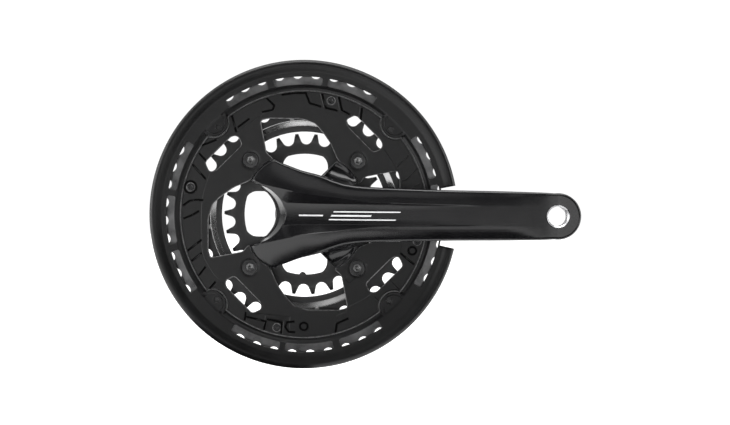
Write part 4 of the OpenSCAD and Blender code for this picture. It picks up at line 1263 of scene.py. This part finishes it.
barrel = wavy(
    [(15.3, 34.2), (15.3, BARREL_IN), (16.0, BARREL_IN)] + outer_side
    + [(16.8, FLANGE_IN - 0.3), (16.8, 37.0), (13.9, 37.0), (13.5, 36.6), (13.5, 34.2)],
    np.arange(96) * 2 * math.pi / 96, thread_shape)
seal = lathe([(14.4, 45.95), (14.6, 45.9), (15.1, 46.08), (16.1, 46.08), (16.5, 45.9), (16.7, 45.95),
              (16.7, 46.28), (15.9, 46.3), (15.5, 46.18), (15.0, 46.3), (14.4, 46.28)], n=96)
bush = lathe([(12.0, 40.0), (12.4, 40.0), (12.5, 40.2), (12.5, 46.5), (15.2, 46.5), (15.6, 46.8),
              (15.6, 47.5), (15.2, 47.9), (12.8, 48.0), (12.0, 48.0)], n=96)
for side in ("right", "left"):
    groups = [flange, barrel], [seal], [bush]
    if side == "left":
        groups = [[mirrored(part) for part in group] for group in groups]
    cup_parts, seal_parts, bush_parts = groups
    make(f"{side}_cup_body", cup_parts, [BLACK_CUP], "bottom_bracket",
         (f"{side}_cup",), sharp=30)
    make(f"{side}_seal", seal_parts, [RUBBER], "bottom_bracket", (f"{side}_bearing_seal",))
    make(f"{side}_bush", bush_parts, [NYLON], "crank", (f"{side}_dust_bush",))

ribs_at = np.arange(-22.0, 22.1, 5.5)
wall = [(15.0, -32.0), (13.4, -32.0), (13.4, 32.0), (15.0, 32.0)]
for z in ribs_at[::-1]:
    wall += [(15.0, z + 1.0), (14.7, z + 0.7), (14.7, z - 0.7), (15.0, z - 1.0)]
make("shell_sleeve", [lathe(wall, n=96)], [SLEEVE], "bottom_bracket", ("bb_sleeve",))

HIDDEN_FINISHES = {"sleeve_o_rings": RUBBER}
for side in ("right", "left"):
    for steel in ("outer_race", "inner_race", "balls"):
        HIDDEN_FINISHES[f"{side}_{steel}"] = BRIGHT_STEEL
    HIDDEN_FINISHES[f"{side}_cage"] = NYLON
for node, material in HIDDEN_FINISHES.items():
    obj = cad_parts[node]
    obj.data.materials.clear()
    obj.data.materials.append(material)

# ------------ studio

LIT_POINT = Vector((0.02, -0.06, 0.0))  # what every light faces


def softbox(name, azimuth, elevation, out, width, height, radiance):
    """A rectangular light seen from the object at these angles; azimuth 0 is the drive side, 90 its left."""
    a, e = math.radians(azimuth), math.radians(elevation)
    way = Vector((-math.sin(a) * math.cos(e), -math.cos(a) * math.cos(e), math.sin(e)))
    data = bpy.data.lights.new(name, "AREA")
    data.shape = "RECTANGLE"
    data.size, data.size_y = width, height
    data.energy = radiance * math.pi * width * height
    obj = stand(name, data)
    obj.location = LIT_POINT + way * out
    obj.rotation_mode = "QUATERNION"
    obj.rotation_quaternion = (-way).to_track_quat("-Z", "Y")
    obj.visible_camera = False


softbox("front_box", 5, 4, 2.2, 0.9, 0.9, 0.22)
softbox("eye_box", -10, 2, 2.2, 0.3, 0.9, 2.4)
softbox("shoulder_box", 22, 28, 2.2, 1.1, 0.6, 1.0)
softbox("left_box", 60, -2, 2.0, 1.0, 1.4, 4.2)
softbox("top_box", 10, 84, 1.8, 2.0, 1.0, 5.0)
softbox("right_box", -86, 10, 2.0, 0.5, 1.2, 5.0)
softbox("edge_box", 88, 6, 2.0, 0.5, 1.4, 6.5)
softbox("rear_box", 180, 25, 2.6, 1.8, 1.0, 1.0)

# the sky: even and white to the camera; to the object, greys that run from the camera's side to behind it
SKY = ((0.28, 0.04), (0.44, 1.0), (0.56, 1.0), (0.78, 0.35))
SKY_LIGHT, SKY_SEEN = 1.9, 1.05
sky = Nodes(bpy.data.worlds.new("studio"), "Background")
bpy.context.scene.world = sky.owner
split = sky.add("ShaderNodeSeparateXYZ")
sky.join(sky.add("ShaderNodeTexCoord").outputs["Generated"], split.inputs[0])
ramp = sky.add("ShaderNodeValToRGB")
sky.join(sky.between(split.outputs["Y"], 0.0, 1.0, -1.0, 1.0), ramp.inputs["Fac"])
stops = ramp.color_ramp.elements
for k, (position, grey) in enumerate(SKY):
    stop = stops[k] if k < 2 else stops.new(position)
    stop.position, stop.color = position, (grey, grey, grey, 1)
seen = sky.add("ShaderNodeMix")
sky.join(sky.add("ShaderNodeLightPath").outputs["Is Camera Ray"], seen.inputs["Factor"])
sky.join(sky.maths("MULTIPLY", ramp.outputs["Color"], SKY_LIGHT), seen.inputs[2])
seen.inputs[3].default_value = SKY_SEEN
sky.join(seen.outputs[0], sky.shader.inputs["Strength"])
sky.settle(sky.shader, {"Color": (1, 1, 1, 1)})


def matte(name, dark, light, rough, specular, glow=0.0):
    """A plain procedural finish for the studio's own things."""
    n = surface(name)
    spot = n.add("ShaderNodeTexCoord").outputs["Object"]
    n.join(n.mixed(n.noise(spot, 900.0), dark, light), n.shader.inputs["Base Color"])
    n.settle(n.shader, {"Roughness": rough, "Specular IOR Level": specular})
    if glow:
        n.settle(n.shader, {"Emission Color": (1, 1, 1, 1), "Emission Strength": glow})
    return n.owner


FLOOR_DROP, FLOOR_REACH = 0.1, 12.0
floor_mesh = bpy.data.meshes.new("floor")
bm = bmesh.new()
floor_square = oblong(-FLOOR_REACH, FLOOR_REACH, -FLOOR_REACH, FLOOR_REACH)
bm.faces.new([bm.verts.new((x, y, cad_low.z - FLOOR_DROP)) for x, y in floor_square])
bmesh.ops.subdivide_edges(bm, edges=bm.edges, cuts=12, use_grid_fill=True)
bm.to_mesh(floor_mesh)
bm.free()
floor_mesh.materials.append(matte("floor_paper", 0.9, 0.93, 0.9, 0.1, 0.62))
floor = stand("floor", floor_mesh)

# a black card below, seen only in reflections, gives the arm's lower facet and the guard's lower rim their
# dark fall; its open cells leave the middle ring's bevel at the top and the arm's lower edge bright
CARD_XS, CARD_YS, CARD_DROP = (-0.13, 0.008, 0.5), (-0.66, -0.45, -0.25, -0.13, 0.06), 0.014
CARD_OPEN = {(0, 1), (1, 3)}
card_mesh = bpy.data.meshes.new("card")
across = len(CARD_XS)
cells = []
for j in range(len(CARD_YS) - 1):
    for i in range(across - 1):
        if (i, j) not in CARD_OPEN:
            at = i + j * across
            cells.append((at, at + 1, at + 1 + across, at + across))
card_mesh.from_pydata([(x, y, cad_low.z - CARD_DROP) for y in CARD_YS for x in CARD_XS], [], cells)
card_mesh.materials.append(matte("card_felt", 0.003, 0.006, 0.95, 0.05))
card = stand("card", card_mesh)
card.visible_camera = card.visible_shadow = card.visible_diffuse = False

# the photograph's view: square on from the drive side, rolled by half a degree
CAMERA_AT, CAMERA_ROLL, LENS = (0.0418, -1.057, 0.0015), 0.5, 71.9
camera_data = bpy.data.cameras.new("camera")
camera_data.sensor_width = 36.0
camera_data.lens = LENS
camera_data.clip_start, camera_data.clip_end = 0.05, 60.0
camera = stand("camera", camera_data)
facing = Matrix.Rotation(math.radians(90), 4, "X") @ Matrix.Rotation(math.radians(CAMERA_ROLL), 4, "Z")
camera.matrix_world = Matrix.Translation(CAMERA_AT) @ facing
bpy.context.scene.camera = camera
bpy.context.scene.view_settings.view_transform = "Standard"
